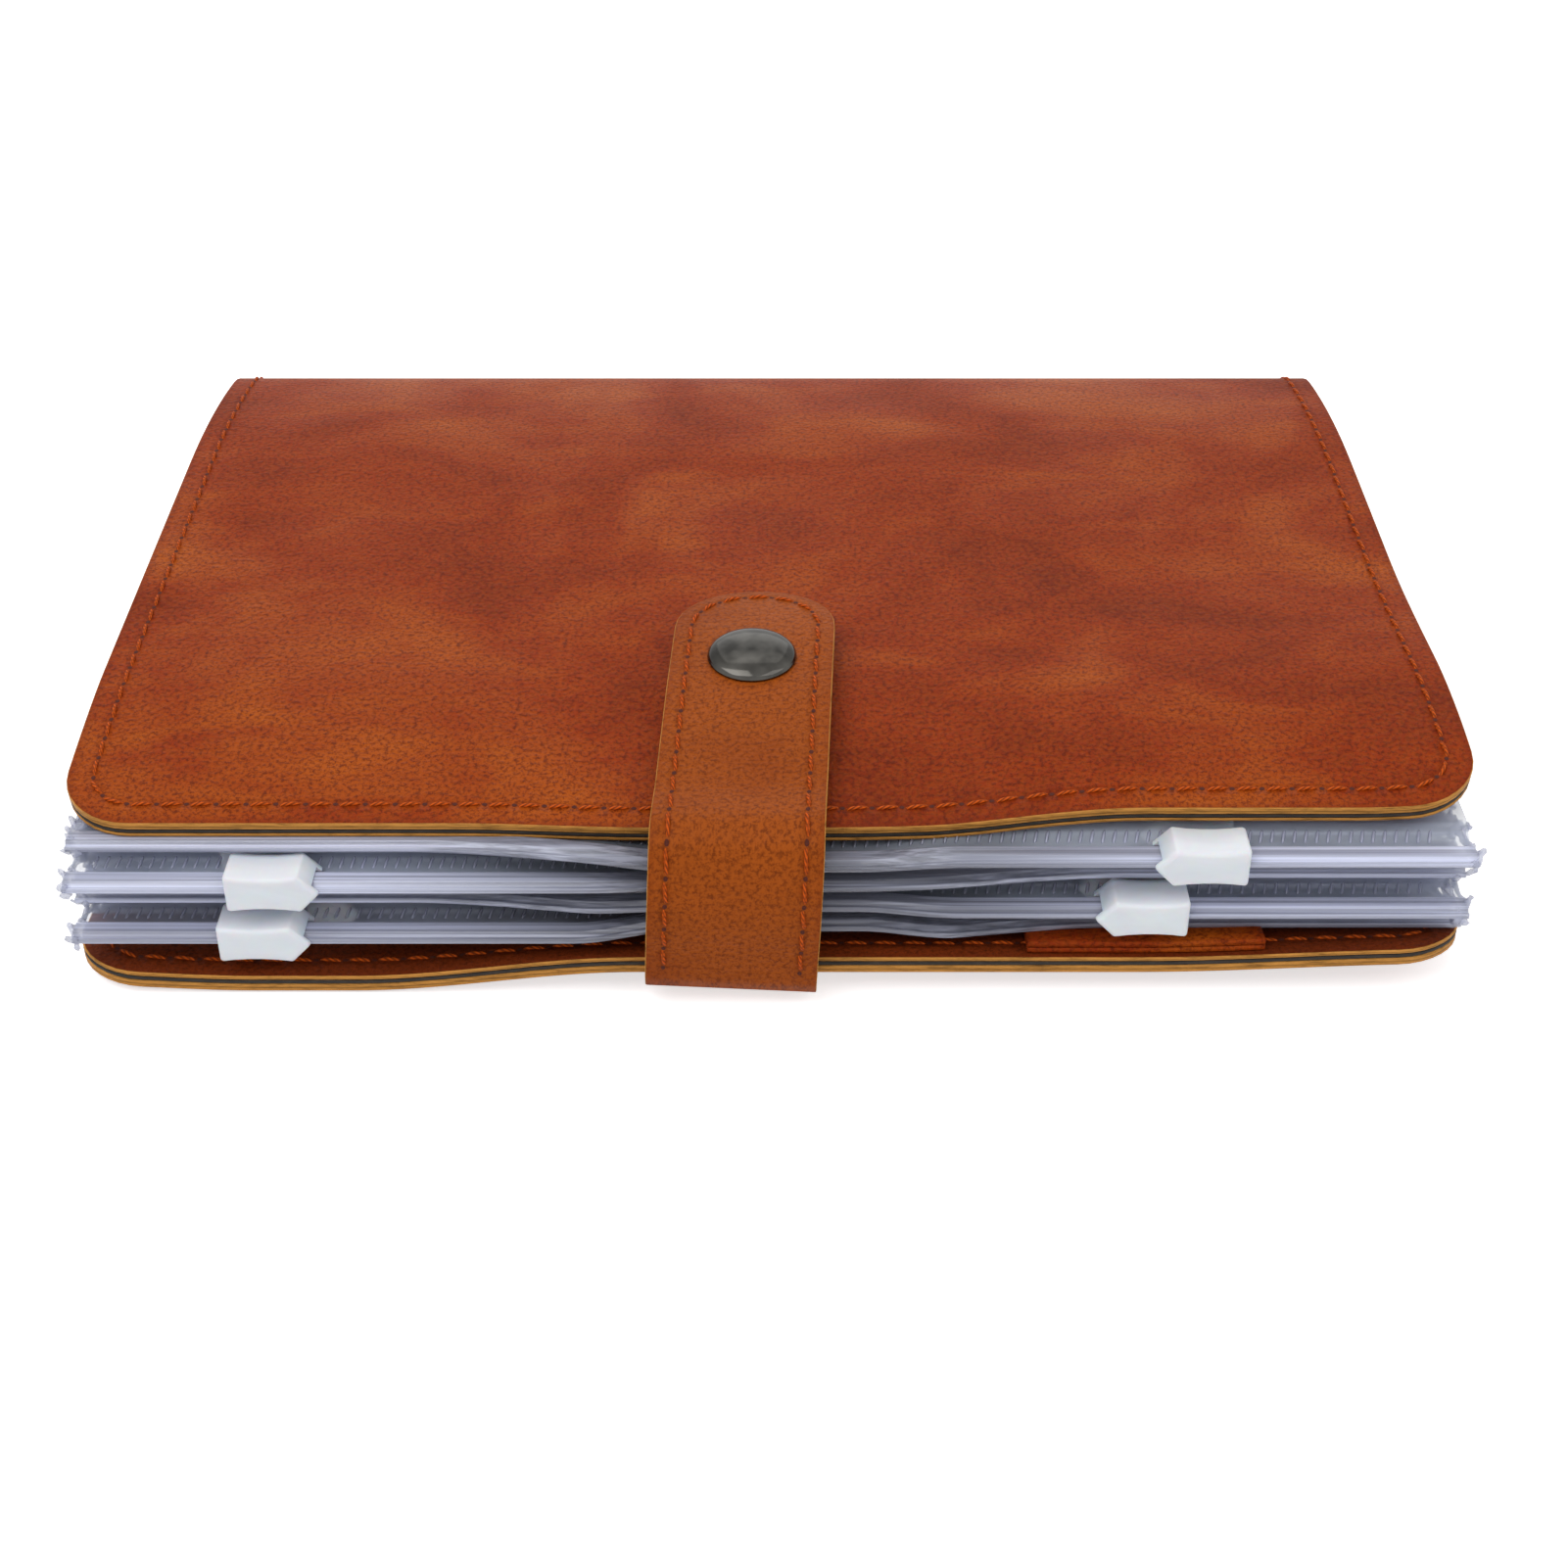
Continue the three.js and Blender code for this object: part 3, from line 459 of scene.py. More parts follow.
def add_sheet(surface, outline, place, levels, step, slot=0):
    """A closed sheet: the same grid for both faces, and levels of (inset, depth) round its edge."""
    top_inset, top_depth = levels[0]
    low_depth = levels[-1][1]
    inner = outline.inset(top_inset)
    columns, rows = inner.grid(step)
    grids = []
    for depth in (top_depth, low_depth):
        grid = []
        for off in columns:
            line = []
            for row in rows:
                run = inner.at(off, row)
                rim = outline.rim(off, run) * MM
                line.append(surface.add(place(off, run, depth), (off * MM, run * MM), rim))
            grid.append(line)
        grids.append(grid)
    top, low = grids
    last_column = len(columns) - 1
    last_row = len(rows) - 1
    for i in range(last_column):
        for j in range(last_row):
            surface.face((top[i][j], top[i + 1][j], top[i + 1][j + 1], top[i][j + 1]), slot)
            surface.face((low[i][j], low[i][j + 1], low[i + 1][j + 1], low[i + 1][j]), slot)
    border = [(i, 0) for i in range(last_column)] + [(last_column, j) for j in range(last_row)]
    border += [(i, last_row) for i in range(last_column, 0, -1)] + [(0, j) for j in range(last_row, 0, -1)]
    rings = [[top[i][j] for i, j in border]]
    for inset, depth in levels[1:-1]:
        ring = []
        for i, j in border:
            off = columns[i]
            run = inner.at(off, rows[j])
            out = inner.outward(off, run) * (top_inset - inset)
            spot = ((off + out.x) * MM, (run + out.y) * MM)
            share = 0.05 + 0.9 * (depth - top_depth) / (low_depth - top_depth)
            ring.append(surface.add(place(off + out.x, run + out.y, depth), spot, 0.0, share))
        rings.append(ring)
    rings.append([low[i][j] for i, j in border])
    for high, under in zip(rings, rings[1:]):
        for k in range(len(border)):
            after = (k + 1) % len(border)
            surface.face((high[k], under[k], under[after], high[after]), slot)


def edge_levels(depth, thickness, radius):
    """A cut edge with its corners worn round."""
    turns = [math.radians(angle) for angle in (0, 30, 60, 90)]
    top = [(radius * (1 - math.sin(turn)), depth + radius * (1 - math.cos(turn))) for turn in turns]
    middle = [(0.0, depth + thickness / 2)]
    low = [(inset, 2 * depth + thickness - value) for inset, value in reversed(top)]
    return top + middle + low


def span_of(lengths, distance):
    """The stretch of a rising list that a distance lies in, and its share of the way along that."""
    low = min(max(bisect_right(lengths, distance) - 1, 0), len(lengths) - 2)
    return low, (distance - lengths[low]) / max(1e-9, lengths[low + 1] - lengths[low])


def resample(points, pitch):
    """A function from a distance along a path to its point and direction, a count and an even pitch."""
    lengths = [0.0]
    for a, b in zip(points, points[1:]):
        lengths.append(lengths[-1] + math.dist(a, b))
    count = max(1, round(lengths[-1] / pitch))

    def at(distance):
        low, share = span_of(lengths, min(max(distance, 0.0), lengths[-1]))
        before = Vector(points[low])
        after = Vector(points[low + 1])
        return before.lerp(after, share), (after - before).normalized()
    return at, count, lengths[-1] / count


# One stitch: shares of its pitch, then millimetres from the seam's line and from the face
STITCH_STARTS = 0.10
STITCH_ENDS = 0.90
STITCH_LEAN = 0.16
LEAN_SPREAD = 0.04
STITCH_RINGS = 9
STITCH_SIDES = 8
SUNK_END = -0.25
RAISED_MIDDLE = 0.12
THIN_END = 0.75
FULL_MIDDLE = 1.08
THREAD_TWIST = 2.6
HOLE_SIDES = 10
HOLE_LONG = 0.36
HOLE_WIDE = 0.30
HOLE_RISE = 0.035


def add_stitches(surface, path, place, face, side, radius, pitch, draw):
    """Stitches and their needle holes along a path, on the face at a depth; side is 1 on the outer face."""
    at, count, pitch = resample(path, pitch)
    for number in range(count):
        start = (number + STITCH_STARTS) * pitch
        end = (number + STITCH_ENDS) * pitch
        lean = STITCH_LEAN + draw.uniform(-LEAN_SPREAD, LEAN_SPREAD)
        rings = []
        for k in range(STITCH_RINGS):
            share = k / (STITCH_RINGS - 1)
            centre, along = at(mix(start, end, share))
            across = Vector((-along.y, along.x))
            bulge = math.sin(math.pi * share) ** 0.5
            lift = mix(SUNK_END, RAISED_MIDDLE, bulge)
            thick = radius * mix(THIN_END, FULL_MIDDLE, bulge)
            ring = []
            for turn in range(STITCH_SIDES):
                angle = turn / STITCH_SIDES * 2 * math.pi + share * THREAD_TWIST
                flat = centre + across * (thick * math.cos(angle) + mix(-lean, lean, share))
                depth = face - side * (lift + thick * math.sin(angle))
                spot = (share * 0.003, turn / STITCH_SIDES * 0.002)
                ring.append(surface.add(place(flat.x, flat.y, depth), spot))
            rings.append(ring)
        surface.tube(rings)
    # Each needle hole is a flat disc laid just over the face, with a dark finish that is painted shade.
    for number in range(count + 1):
        centre, along = at(number * pitch)
        across = Vector((-along.y, along.x))
        disc = []
        for turn in range(HOLE_SIDES):
            angle = turn / HOLE_SIDES * 2 * math.pi
            flat = centre + along * (HOLE_LONG * math.cos(angle)) + across * (HOLE_WIDE * math.sin(angle))
            disc.append(surface.add(place(flat.x, flat.y, face - side * HOLE_RISE)))
        surface.face(disc, 1)


class Finish:
    """The nodes of a material or of the world, with short ways to add what the finishes share."""

    def __init__(self, name, specular=None, world=False):
        self.material = (bpy.data.worlds if world else bpy.data.materials).new(name)
        self.material.use_nodes = True
        self.nodes = self.material.node_tree.nodes
        self.links = self.material.node_tree.links
        self.shader = self.nodes["Background" if world else "Principled BSDF"]
        if specular is not None:
            self.shader.inputs["Specular IOR Level"].default_value = specular

    def put(self, kind, **settings):
        node = self.nodes.new("ShaderNode" + kind)
        for key, value in settings.items():
            setattr(node, key, value)
        return node

    def feed(self, socket, value):
        if isinstance(value, bpy.types.NodeSocket):
            self.links.new(value, socket)
        else:
            socket.default_value = value

    def surface(self, name, value):
        self.feed(self.shader.inputs[name], value)

    def sheet(self):
        return self.put("TexCoord").outputs["UV"]

    def solid(self):
        return self.put("TexCoord").outputs["Object"]

    def mark(self, name):
        return self.put("Attribute", attribute_name=name).outputs["Fac"]

    def stretched(self, place, scale):
        node = self.put("Mapping")
        self.feed(node.inputs["Vector"], place)
        node.inputs["Scale"].default_value = scale
        return node.outputs["Vector"]

    def noise(self, place, scale, detail=3.0, roughness=0.5, warp=0.0):
        """Clouds of one scale, or of three numbers for clouds drawn out along an axis."""
        if isinstance(scale, tuple):
            place = self.stretched(place, scale)
            scale = 1
        node = self.put("TexNoise")
        self.feed(node.inputs["Vector"], place)
        settings = {"Scale": scale, "Detail": detail, "Roughness": roughness, "Distortion": warp}
        for label, value in settings.items():
            node.inputs[label].default_value = value
        return node.outputs["Fac"]

    def cells(self, place, scale, feature="F1"):
        node = self.put("TexVoronoi", feature=feature)
        self.feed(node.inputs["Vector"], place)
        node.inputs["Scale"].default_value = scale
        return node.outputs["Distance"]

    def math(self, operation, a, b=0.0):
        node = self.put("Math", operation=operation)
        self.feed(node.inputs[0], a)
        self.feed(node.inputs[1], b)
        return node.outputs[0]

    def times(self, a, b):
        return self.math("MULTIPLY", a, b)

    def away(self, value, middle):
        """How far a value lies from a middle one, to either side."""
        return self.math("ABSOLUTE", self.math("SUBTRACT", value, middle))

    def spread(self, value, low, high, to_low=0.0, to_high=1.0):
        node = self.put("MapRange", interpolation_type="SMOOTHSTEP")
        self.feed(node.inputs["Value"], value)
        for label, number in (("From Min", low), ("From Max", high), ("To Min", to_low), ("To Max", to_high)):
            node.inputs[label].default_value = number
        return node.outputs["Result"]

    def ramp(self, value, stops):
        node = self.put("ValToRGB")
        self.feed(node.inputs["Fac"], value)
        points = node.color_ramp.elements
        while len(points) < len(stops):
            points.new(0.5)
        for point, (position, colour) in zip(points, stops):
            point.position = position
            point.color = (*colour, 1)
        return node.outputs["Color"]

    def blend(self, factor, a, b, mode="MIX"):
        node = self.put("Mix", data_type="RGBA", blend_type=mode)
        self.feed(node.inputs[0], factor)
        for socket, colour in ((node.inputs[6], a), (node.inputs[7], b)):
            self.feed(socket, colour if isinstance(colour, bpy.types.NodeSocket) else (*colour, 1))
        return node.outputs[2]

    def bump(self, height, strength, distance, under=None):
        node = self.put("Bump")
        self.feed(node.inputs["Height"], height)
        node.inputs["Strength"].default_value = strength
        node.inputs["Distance"].default_value = distance
        if under is not None:
            self.feed(node.inputs["Normal"], under)
        return node.outputs["Normal"]


def darker(colour, share):
    """A colour at a share of its light: darker under 1, lighter over it."""
    return tuple(value * share for value in colour)


def leather_finish(name, tones, cut_edge, gloss, seam_inset=None):
    """Mottled leather with a pebble grain; a sheet with a seam also has its groove and a raw cut edge."""
    finish = Finish(name, specular=0.08)
    dark, middle, light = tones
    on_sheet = seam_inset is not None
    place = finish.sheet() if on_sheet else finish.solid()
    clouds = finish.noise(place, 26, 5, 0.56, 0.6)
    streaks = finish.noise(place, (34, 78, 34), 5, 0.6, 0.9)
    mottle = finish.math("ADD", finish.times(clouds, 0.62), finish.times(streaks, 0.38))
    colour = finish.ramp(mottle, [(0.36, dark), (0.49, middle), (0.64, light)])
    speckle = finish.noise(place, 1500, 3, 0.8)
    colour = finish.blend(finish.spread(speckle, 0.44, 0.62, 0.0, 0.80), colour, darker(dark, 0.5))
    grain = finish.cells(place, 1500, "SMOOTH_F1")
    colour = finish.blend(finish.spread(grain, 0.25, 0.60, 0.20, 0.0), colour, light)
    wide = finish.noise(place, 55, 4, 0.6)
    height = finish.math("ADD", finish.times(grain, 0.6), finish.times(speckle, 0.5))
    normal = finish.bump(height, 0.7, 0.0003)
    normal = finish.bump(wide, 0.10, 0.0012, normal)
    if on_sheet:
        rim = finish.mark("rim")
        groove = finish.spread(finish.away(rim, seam_inset), 0.0, 0.0011, 1.0, 0.0)
        colour = finish.blend(finish.times(groove, 0.22), colour, darker(dark, 0.7))
        worn = finish.spread(rim, 0.0002, 0.0016, 1.0, 0.0)
        colour = finish.blend(finish.times(worn, 0.35), colour, darker(dark, 0.85))
        normal = finish.bump(groove, 0.55, -0.00035, normal)
        wall = finish.mark("wall")
        fibres = finish.noise(finish.solid(), (260, 260, 2600), 4, 0.7)
        edge = finish.ramp(fibres, [(0.30, darker(cut_edge, 0.42)), (0.50, cut_edge),
                                    (0.72, darker(cut_edge, 1.25))])
        middle_line = finish.spread(finish.away(wall, 0.52), 0.02, 0.12, 1.0, 0.0)
        edge = finish.blend(finish.times(middle_line, 0.6), edge, darker(cut_edge, 0.28))
        on_edge = finish.spread(wall, 0.02, 0.10)
        colour = finish.blend(on_edge, colour, edge)
        normal = finish.bump(finish.times(fibres, on_edge), 0.6, 0.0005, normal)
    finish.surface("Base Color", colour)
    finish.surface("Normal", normal)
    finish.surface("Roughness", finish.spread(clouds, 0.3, 0.7, gloss + 0.08, gloss - 0.05))
    return finish.material


def board_finish(name, colour):
    """Black fibre board with a torn, speckled edge."""
    finish = Finish(name)
    fibres = finish.noise(finish.solid(), (400, 400, 2400), 5, 0.7)
    tones = [(0.3, darker(colour, 0.4)), (0.5, colour), (0.75, darker(colour, 2.4))]
    finish.surface("Base Color", finish.ramp(fibres, tones))
    finish.surface("Normal", finish.bump(fibres, 0.5, 0.0004))
    finish.surface("Roughness", 0.85)
    return finish.material


def thread_finish(name, colour):
    """Twisted sewing thread."""
    finish = Finish(name, specular=0.15)
    wave = finish.put("TexWave", wave_type="BANDS", bands_direction="DIAGONAL")
    finish.feed(wave.inputs["Vector"], finish.sheet())
    wave.inputs["Scale"].default_value = 900
    wave.inputs["Distortion"].default_value = 0.6
    twist = wave.outputs["Fac"]
    tones = [(0.1, darker(colour, 0.45)), (0.6, colour), (0.95, darker(colour, 1.35))]
    finish.surface("Base Color", finish.ramp(twist, tones))
    finish.surface("Normal", finish.bump(twist, 0.5, 0.00012))
    finish.surface("Roughness", 0.6)
    return finish.material


def hole_shade_finish(name, colour):
    """The dark inside of a needle hole, painted as shade on a flat disc."""
    finish = Finish(name)
    fibres = finish.noise(finish.solid(), 4000, 3, 0.7)
    tones = [(0.3, darker(colour, 0.2)), (0.8, darker(colour, 0.6))]
    finish.surface("Base Color", finish.ramp(fibres, tones))
    finish.surface("Roughness", 0.9)
    return finish.material


def metal_finish(name, colour, roughness, brushed, smudge_and_reflection_share=0.80):
    """Polished or brushed plating with fine scratches and a faint smudge pattern, which at a low share is
    painted dark reflection.
    """
    finish = Finish(name)
    place = finish.solid()
    scratches = finish.noise(place, (60, 2600, 2600) if brushed else (900, 900, 900), 4, 0.6)
    smudges_and_reflections = finish.noise(place, 160, 3, 0.5)
    # Painted reflection at a low share, as on the cap: broad dark and light patches in the colour; at the
    # default share only a faint smudge pattern.
    finish.surface("Base Color", finish.ramp(smudges_and_reflections, [(0.36, darker(colour, smudge_and_reflection_share)), (0.64, colour)]))
    finish.surface("Metallic", 1.0)
    finish.surface("Roughness", finish.spread(smudges_and_reflections, 0.3, 0.7, roughness * 0.8, roughness * 1.3))
    finish.surface("Normal", finish.bump(scratches, 0.12 if brushed else 0.03, 0.0001))
    return finish.material


def film_finish(name, colour, clearness, ridges, gloss=0.16):
    """Clear plastic with a blue tint: film, or the ribbed track that a zip slider runs on; its colour has
    painted shade towards the middle.
    """
    finish = Finish(name, specular=0.7)
    place = finish.solid()
    if ridges:
        lines = finish.noise(place, (6, 900, 1500), 3, 0.6)
        colours = [(0.30, darker(colour, 0.62)), (0.50, colour), (0.66, darker(colour, 1.5))]
        height = 0.0004
    else:
        lines = finish.noise(place, (18, 40, 90), 4, 0.55, 0.5)
        colours = [(0.30, darker(colour, 0.75)), (0.55, colour), (0.75, darker(colour, 1.3))]
        height = 0.0012
    tint = finish.ramp(lines, colours)
    # Painted shade: the colour darkens towards the middle, where the stack lies in shadow under the strap and
    # cover.
    across = finish.put("SeparateXYZ")
    finish.feed(across.inputs[0], place)
    squeezed = finish.spread(finish.math("ABSOLUTE", across.outputs["X"]), 0.014, 0.060, 0.62, 0.0)
    finish.surface("Base Color", finish.blend(squeezed, tint, darker(colour, 0.16)))
    finish.surface("Alpha", finish.spread(lines, 0.32, 0.68, clearness - 0.10, clearness + 0.16))
    finish.surface("Normal", finish.bump(lines, 0.5, height))
    finish.surface("Roughness", finish.spread(lines, 0.3, 0.7, gloss * 0.8, gloss * 1.4))
    return finish.material


def milky_finish(name, colour):
    """Milky moulded plastic with a faint flow pattern."""
    finish = Finish(name, specular=0.45)
    place = finish.solid()
    flow = finish.noise(place, (90, 300, 300), 3, 0.5, 0.4)
    satin = finish.noise(place, 2600, 2, 0.5)
    finish.surface("Base Color", finish.ramp(flow, [(0.3, darker(colour, 0.93)), (0.7, colour)]))
    finish.surface("Roughness", finish.spread(satin, 0.3, 0.7, 0.30, 0.42))
    finish.surface("Normal", finish.bump(satin, 0.06, 0.0001))
    finish.surface("Subsurface Weight", 0.35)
    finish.surface("Subsurface Scale", 0.002)
    return finish.material


MATERIALS = {}


def materials(scene):
    """The binder's finishes, made once from the colours in the panel."""
    if MATERIALS:
        return MATERIALS
    colours = scene.binder_colours
    sizes = scene.binder_sizes
    tint = {name: tuple(getattr(colours, name)) for name in BinderColours.__annotations__}
    edge = tint["cut_edge"]
    cover = (tint["leather_dark"], tint["leather"], tint["leather_light"])
    strap = (tint["strap_dark"], tint["strap"], darker(tint["strap"], 1.15))
    lining = (darker(tint["lining"], 0.8), tint["lining"], darker(tint["lining"], 1.2))
    track = tint["zip_track"]
    MATERIALS.update(
        leather=leather_finish("mottled_leather", cover, edge, 0.50, sizes.cover_inset),
        loop=leather_finish("loop_leather", cover, edge, 0.50),
        strap=leather_finish("strap_leather", strap, edge, 0.46, sizes.strap_inset),
        lining=leather_finish("lining_leather", lining, edge, 0.55, sizes.cover_inset),
        board=board_finish("fibre_board", tint["board"]),
        thread=thread_finish("sewing_thread", tint["thread"]),
        # The needle holes' dark discs are painted shade.
        hole=hole_shade_finish("needle_hole", tint["leather_dark"]),
        chrome=metal_finish("polished_chrome", tint["chrome"], 0.10, brushed=False),
        # The cap's dark base colour and its deep dark patches are painted reflection.
        cap=metal_finish("dark_polished_cap", tint["cap"], 0.12, brushed=False, smudge_and_reflection_share=0.22),
        steel=metal_finish("plated_steel", tint["steel"], 0.26, brushed=True),
        film=film_finish("clear_film", tint["film"], 0.54, ridges=False, gloss=0.3),
        track=film_finish("clear_track", track, 0.72, ridges=True),
        flash=film_finish("weld_flash", darker(track, 1.2), 0.55, ridges=False, gloss=0.1),
        milky=milky_finish("milky_plastic", tint["slider"]),
    )
    return MATERIALS


COVER_OUTLINE = Outline(COVER_HALF, 0.0, COVER_END, COVER_CORNER, COVER_CORNER)
EDGE_RADIUS = 0.22
SEAM_END = COVER_END / 2


class BINDER_OT_cover(bpy.types.Operator):
    """Lay the outer leather, the board and the lining over each other"""
    bl_idname = "binder.cover"
    bl_label = "Cover"

    def execute(self, context):
        sizes = context.scene.binder_sizes
        finishes = materials(context.scene)
        step = sizes.grid_step / MM
        layers = (
            ("cover_leather", "outer_cover", 0.0, SKIN, "leather", "leather"),
            ("cover_board", "stiffener_sheet", SKIN + LAYER_GAP, BOARD, "board", "black_board"),
            ("cover_lining", "inner_lining", COVER - LINING, LINING, "lining", "lining_leather"),
        )
        for name, node, depth, thickness, finish, slot in layers:
            surface = Surface()
            add_sheet(surface, COVER_OUTLINE, cover_place, edge_levels(depth, thickness, EDGE_RADIUS), step)
            piece = surface.finish(name, [finishes[finish]], slot=slot)
            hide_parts(node)
        return {"FINISHED"}


class BINDER_OT_cover_seams(bpy.types.Operator):
    """Sew the seam round the cover, which shows on the leather and on the lining"""
    bl_idname = "binder.cover_seams"
    bl_label = "Cover seams"

    def execute(self, context):
        sizes = context.scene.binder_sizes
        finishes = materials(context.scene)
        draw = random.Random(sizes.seed)
        seam = COVER_OUTLINE.inset(sizes.cover_inset / MM)
        front = seam.path(SEAM_END)
        back = [(-off, COVER_END - run) for off, run in front]
        for name, path, face, side in (
            ("front_seam", front, 0.0, 1),
            ("back_seam", back, 0.0, 1),
            ("front_lining_seam", front, COVER, -1),
            ("back_lining_seam", back, COVER, -1),
        ):
            surface = Surface()
            add_stitches(surface, path, cover_place, face, side, sizes.thread_radius / MM,
                         sizes.stitch_pitch / MM, draw)
            surface.finish(name, [finishes["thread"], finishes["hole"]], slot="leather")
        return {"FINISHED"}


class BINDER_OT_pen_loop(bpy.types.Operator):
    """Fold the flat pen loop on the back cover's lining"""
    bl_idname = "binder.pen_loop"
    bl_label = "Pen loop"

    def execute(self, context):
        surface = Surface()
        front = BACK_FORE_Y + 1
        back = front + LOOP_DEPTH
        height = 2 * LOOP_LAYER + LOOP_SLIT
        middle = height / 2
        section = [(front, LOOP_WORN), (front + LOOP_WORN, 0.0)]
        for angle in range(-90, 91, 22):
            turn = math.radians(angle)
            section.append((back + (middle - LOOP_FLAT) * math.cos(turn), middle * (1 + math.sin(turn))))
        section += [(front + LOOP_WORN, height), (front, height - LOOP_WORN), (front, height - LOOP_LAYER)]
        for angle in range(90, -91, -45):
            turn = math.radians(angle)
            z = middle + (middle - LOOP_LAYER) * math.sin(turn)
            section.append((back - SLIT_END + SLIT_BEND * math.cos(turn), z))
        section.append((front, LOOP_LAYER))
        rings = []
        for x in steps(LOOP_CENTRE - LOOP_HALF, LOOP_CENTRE + LOOP_HALF, 1.0):
            end = min(x - LOOP_CENTRE + LOOP_HALF, LOOP_CENTRE + LOOP_HALF - x)
            skew = LOOP_SKEW * math.sin((x - LOOP_CENTRE) * 0.19)
            shrink = 0.0 if end > 0.5 else 0.1
            ring = []
            for y, rise in section:
                run = back_run(y + skew * (y - front) / LOOP_DEPTH)
                depth = COVER + LOOP_STANDS + mix(rise, middle, shrink)
                ring.append(surface.add(cover_place(x, run, depth), (x * MM, y * MM)))
            rings.append(ring)
        surface.tube(rings)
        piece = surface.finish("pen_loop_fold", [materials(context.scene)["loop"]], slot="leather")
        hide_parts("pen_loop")
        return {"FINISHED"}


# The strap in side view: its root's inner end and steps, and how far it stands off what it passes
ROOT_Y = -37.0
ROOT_STEPS = 35
STANDING_KNOTS = ((0, 0), (0.4, 0.25), (0.8, 0.5), (0, 0.8))
OVER_EDGE_RISE = 1.1
FRONT_KNOTS = ((4, 1.3), (13, 1.6))
SNAP_FLAT = 7
TIP_KNOTS = ((STRAP_REACH - 5, 1.3), (STRAP_REACH, 0.5))
CURVE_STEPS = 12


def on_cover(run, offset):
    """A point in side view that stands off the cover's outer face."""
    y, z, heading = cover_profile(run)
    return Vector((y - offset * math.sin(heading), z + offset * math.cos(heading)))


def strap_line():
    """The strap's inner face in side view, from its root under the back cover to its tip."""
    line = [Vector((mix(ROOT_Y, FOLD_Y, k / ROOT_STEPS), STRAP)) for k in range(ROOT_STEPS + 1)]
    fold_z = STRAP + FOLD_RADIUS
    for angle in range(15, 91, 15):
        turn = math.radians(angle)
        line.append(Vector((FOLD_Y - FOLD_RADIUS * math.sin(turn), fold_z - FOLD_RADIUS * math.cos(turn))))
    standing = FORE_Z - STANDING_Z
    snap_turn = cover_profile(SNAP_REACH)[2]
    on_snap = on_cover(SNAP_REACH, STRAP_RISE)
    flat = Vector((math.cos(snap_turn), math.sin(snap_turn))) * SNAP_FLAT
    knots = [Vector((STANDING_Y - out, STANDING_Z + share * standing)) for out, share in STANDING_KNOTS]
    knots.append(Vector((mix(STANDING_Y, FORE_Y, 0.35), FORE_Z + OVER_EDGE_RISE)))
    knots += [on_cover(run, rise) for run, rise in FRONT_KNOTS]
    knots += [on_snap - flat, on_snap, on_snap + flat]
    knots += [on_cover(run, rise) for run, rise in TIP_KNOTS]
    knots = [knots[0] * 2 - knots[1]] + knots + [knots[-1] * 2 - knots[-2]]
    for p0, p1, p2, p3 in zip(knots, knots[1:], knots[2:], knots[3:]):
        # Centripetal pacing keeps the curve from overshooting at the short stretches
        t1 = math.sqrt((p1 - p0).length)
        t2 = t1 + math.sqrt((p2 - p1).length)
        t3 = t2 + math.sqrt((p3 - p2).length)
        for k in range(CURVE_STEPS):
            t = mix(t1, t2, k / CURVE_STEPS)
            a1 = p0.lerp(p1, t / t1)
            a2 = p1.lerp(p2, (t - t1) / (t2 - t1))
            a3 = p2.lerp(p3, (t - t2) / (t3 - t2))
            b1 = a1.lerp(a2, t / t2)
            b2 = a2.lerp(a3, (t - t1) / (t3 - t1))
            line.append(b1.lerp(b2, (t - t1) / (t2 - t1)))
    line.append(knots[-2])
    return line


STRAP_LINE = strap_line()
STRAP_RUNS = [0.0]
for before, after in zip(STRAP_LINE, STRAP_LINE[1:]):
    STRAP_RUNS.append(STRAP_RUNS[-1] + (after - before).length)
STRAP_END = STRAP_RUNS[-1]
STRAP_FOLD = STRAP_RUNS[ROOT_STEPS]
STRAP_OUTLINE = Outline(STRAP_HALF, 0.0, STRAP_END, 0.0, STRAP_HALF)


def strap_at(run):
    """Place and heading of the strap's inner face."""
    low, share = span_of(STRAP_RUNS, run)
    here, ahead = STRAP_LINE[low:low + 2]
    before = STRAP_LINE[max(0, low - 1)]
    after = STRAP_LINE[min(len(STRAP_LINE) - 1, low + 2)]
    first = (ahead - before).normalized()
    second = (after - here).normalized()
    return here.lerp(ahead, share), first.lerp(second, share).normalized()


def strap_place(off, run, depth):
    """A point of the strap at a depth under its outer face."""
    place, heading = strap_at(min(max(run, 0.0), STRAP_END))
    share = max(0.0, (run - STRAP_FOLD) / (STRAP_END - STRAP_FOLD))
    rise = STRAP - depth
    raised = FOLD_TWIST * (0.5 - off / STRAP_HALF / 2) * smooth(STRAP_FOLD - 3, STRAP_FOLD, run)
    raised += FOLD_RAISED * smooth(STRAP_FOLD - 22, STRAP_FOLD - 2, run)
    raised *= 1 - smooth(STRAP_FOLD + 2, STRAP_FOLD + 20, run)
    x = STRAP_X + STRAP_SKEW * share + off
    return Vector((x, place.x - rise * heading.y, place.y + rise * heading.x + raised)) * MM


def blend_strap(piece):
    """Bake the strap's placement into its points."""
    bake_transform(piece)


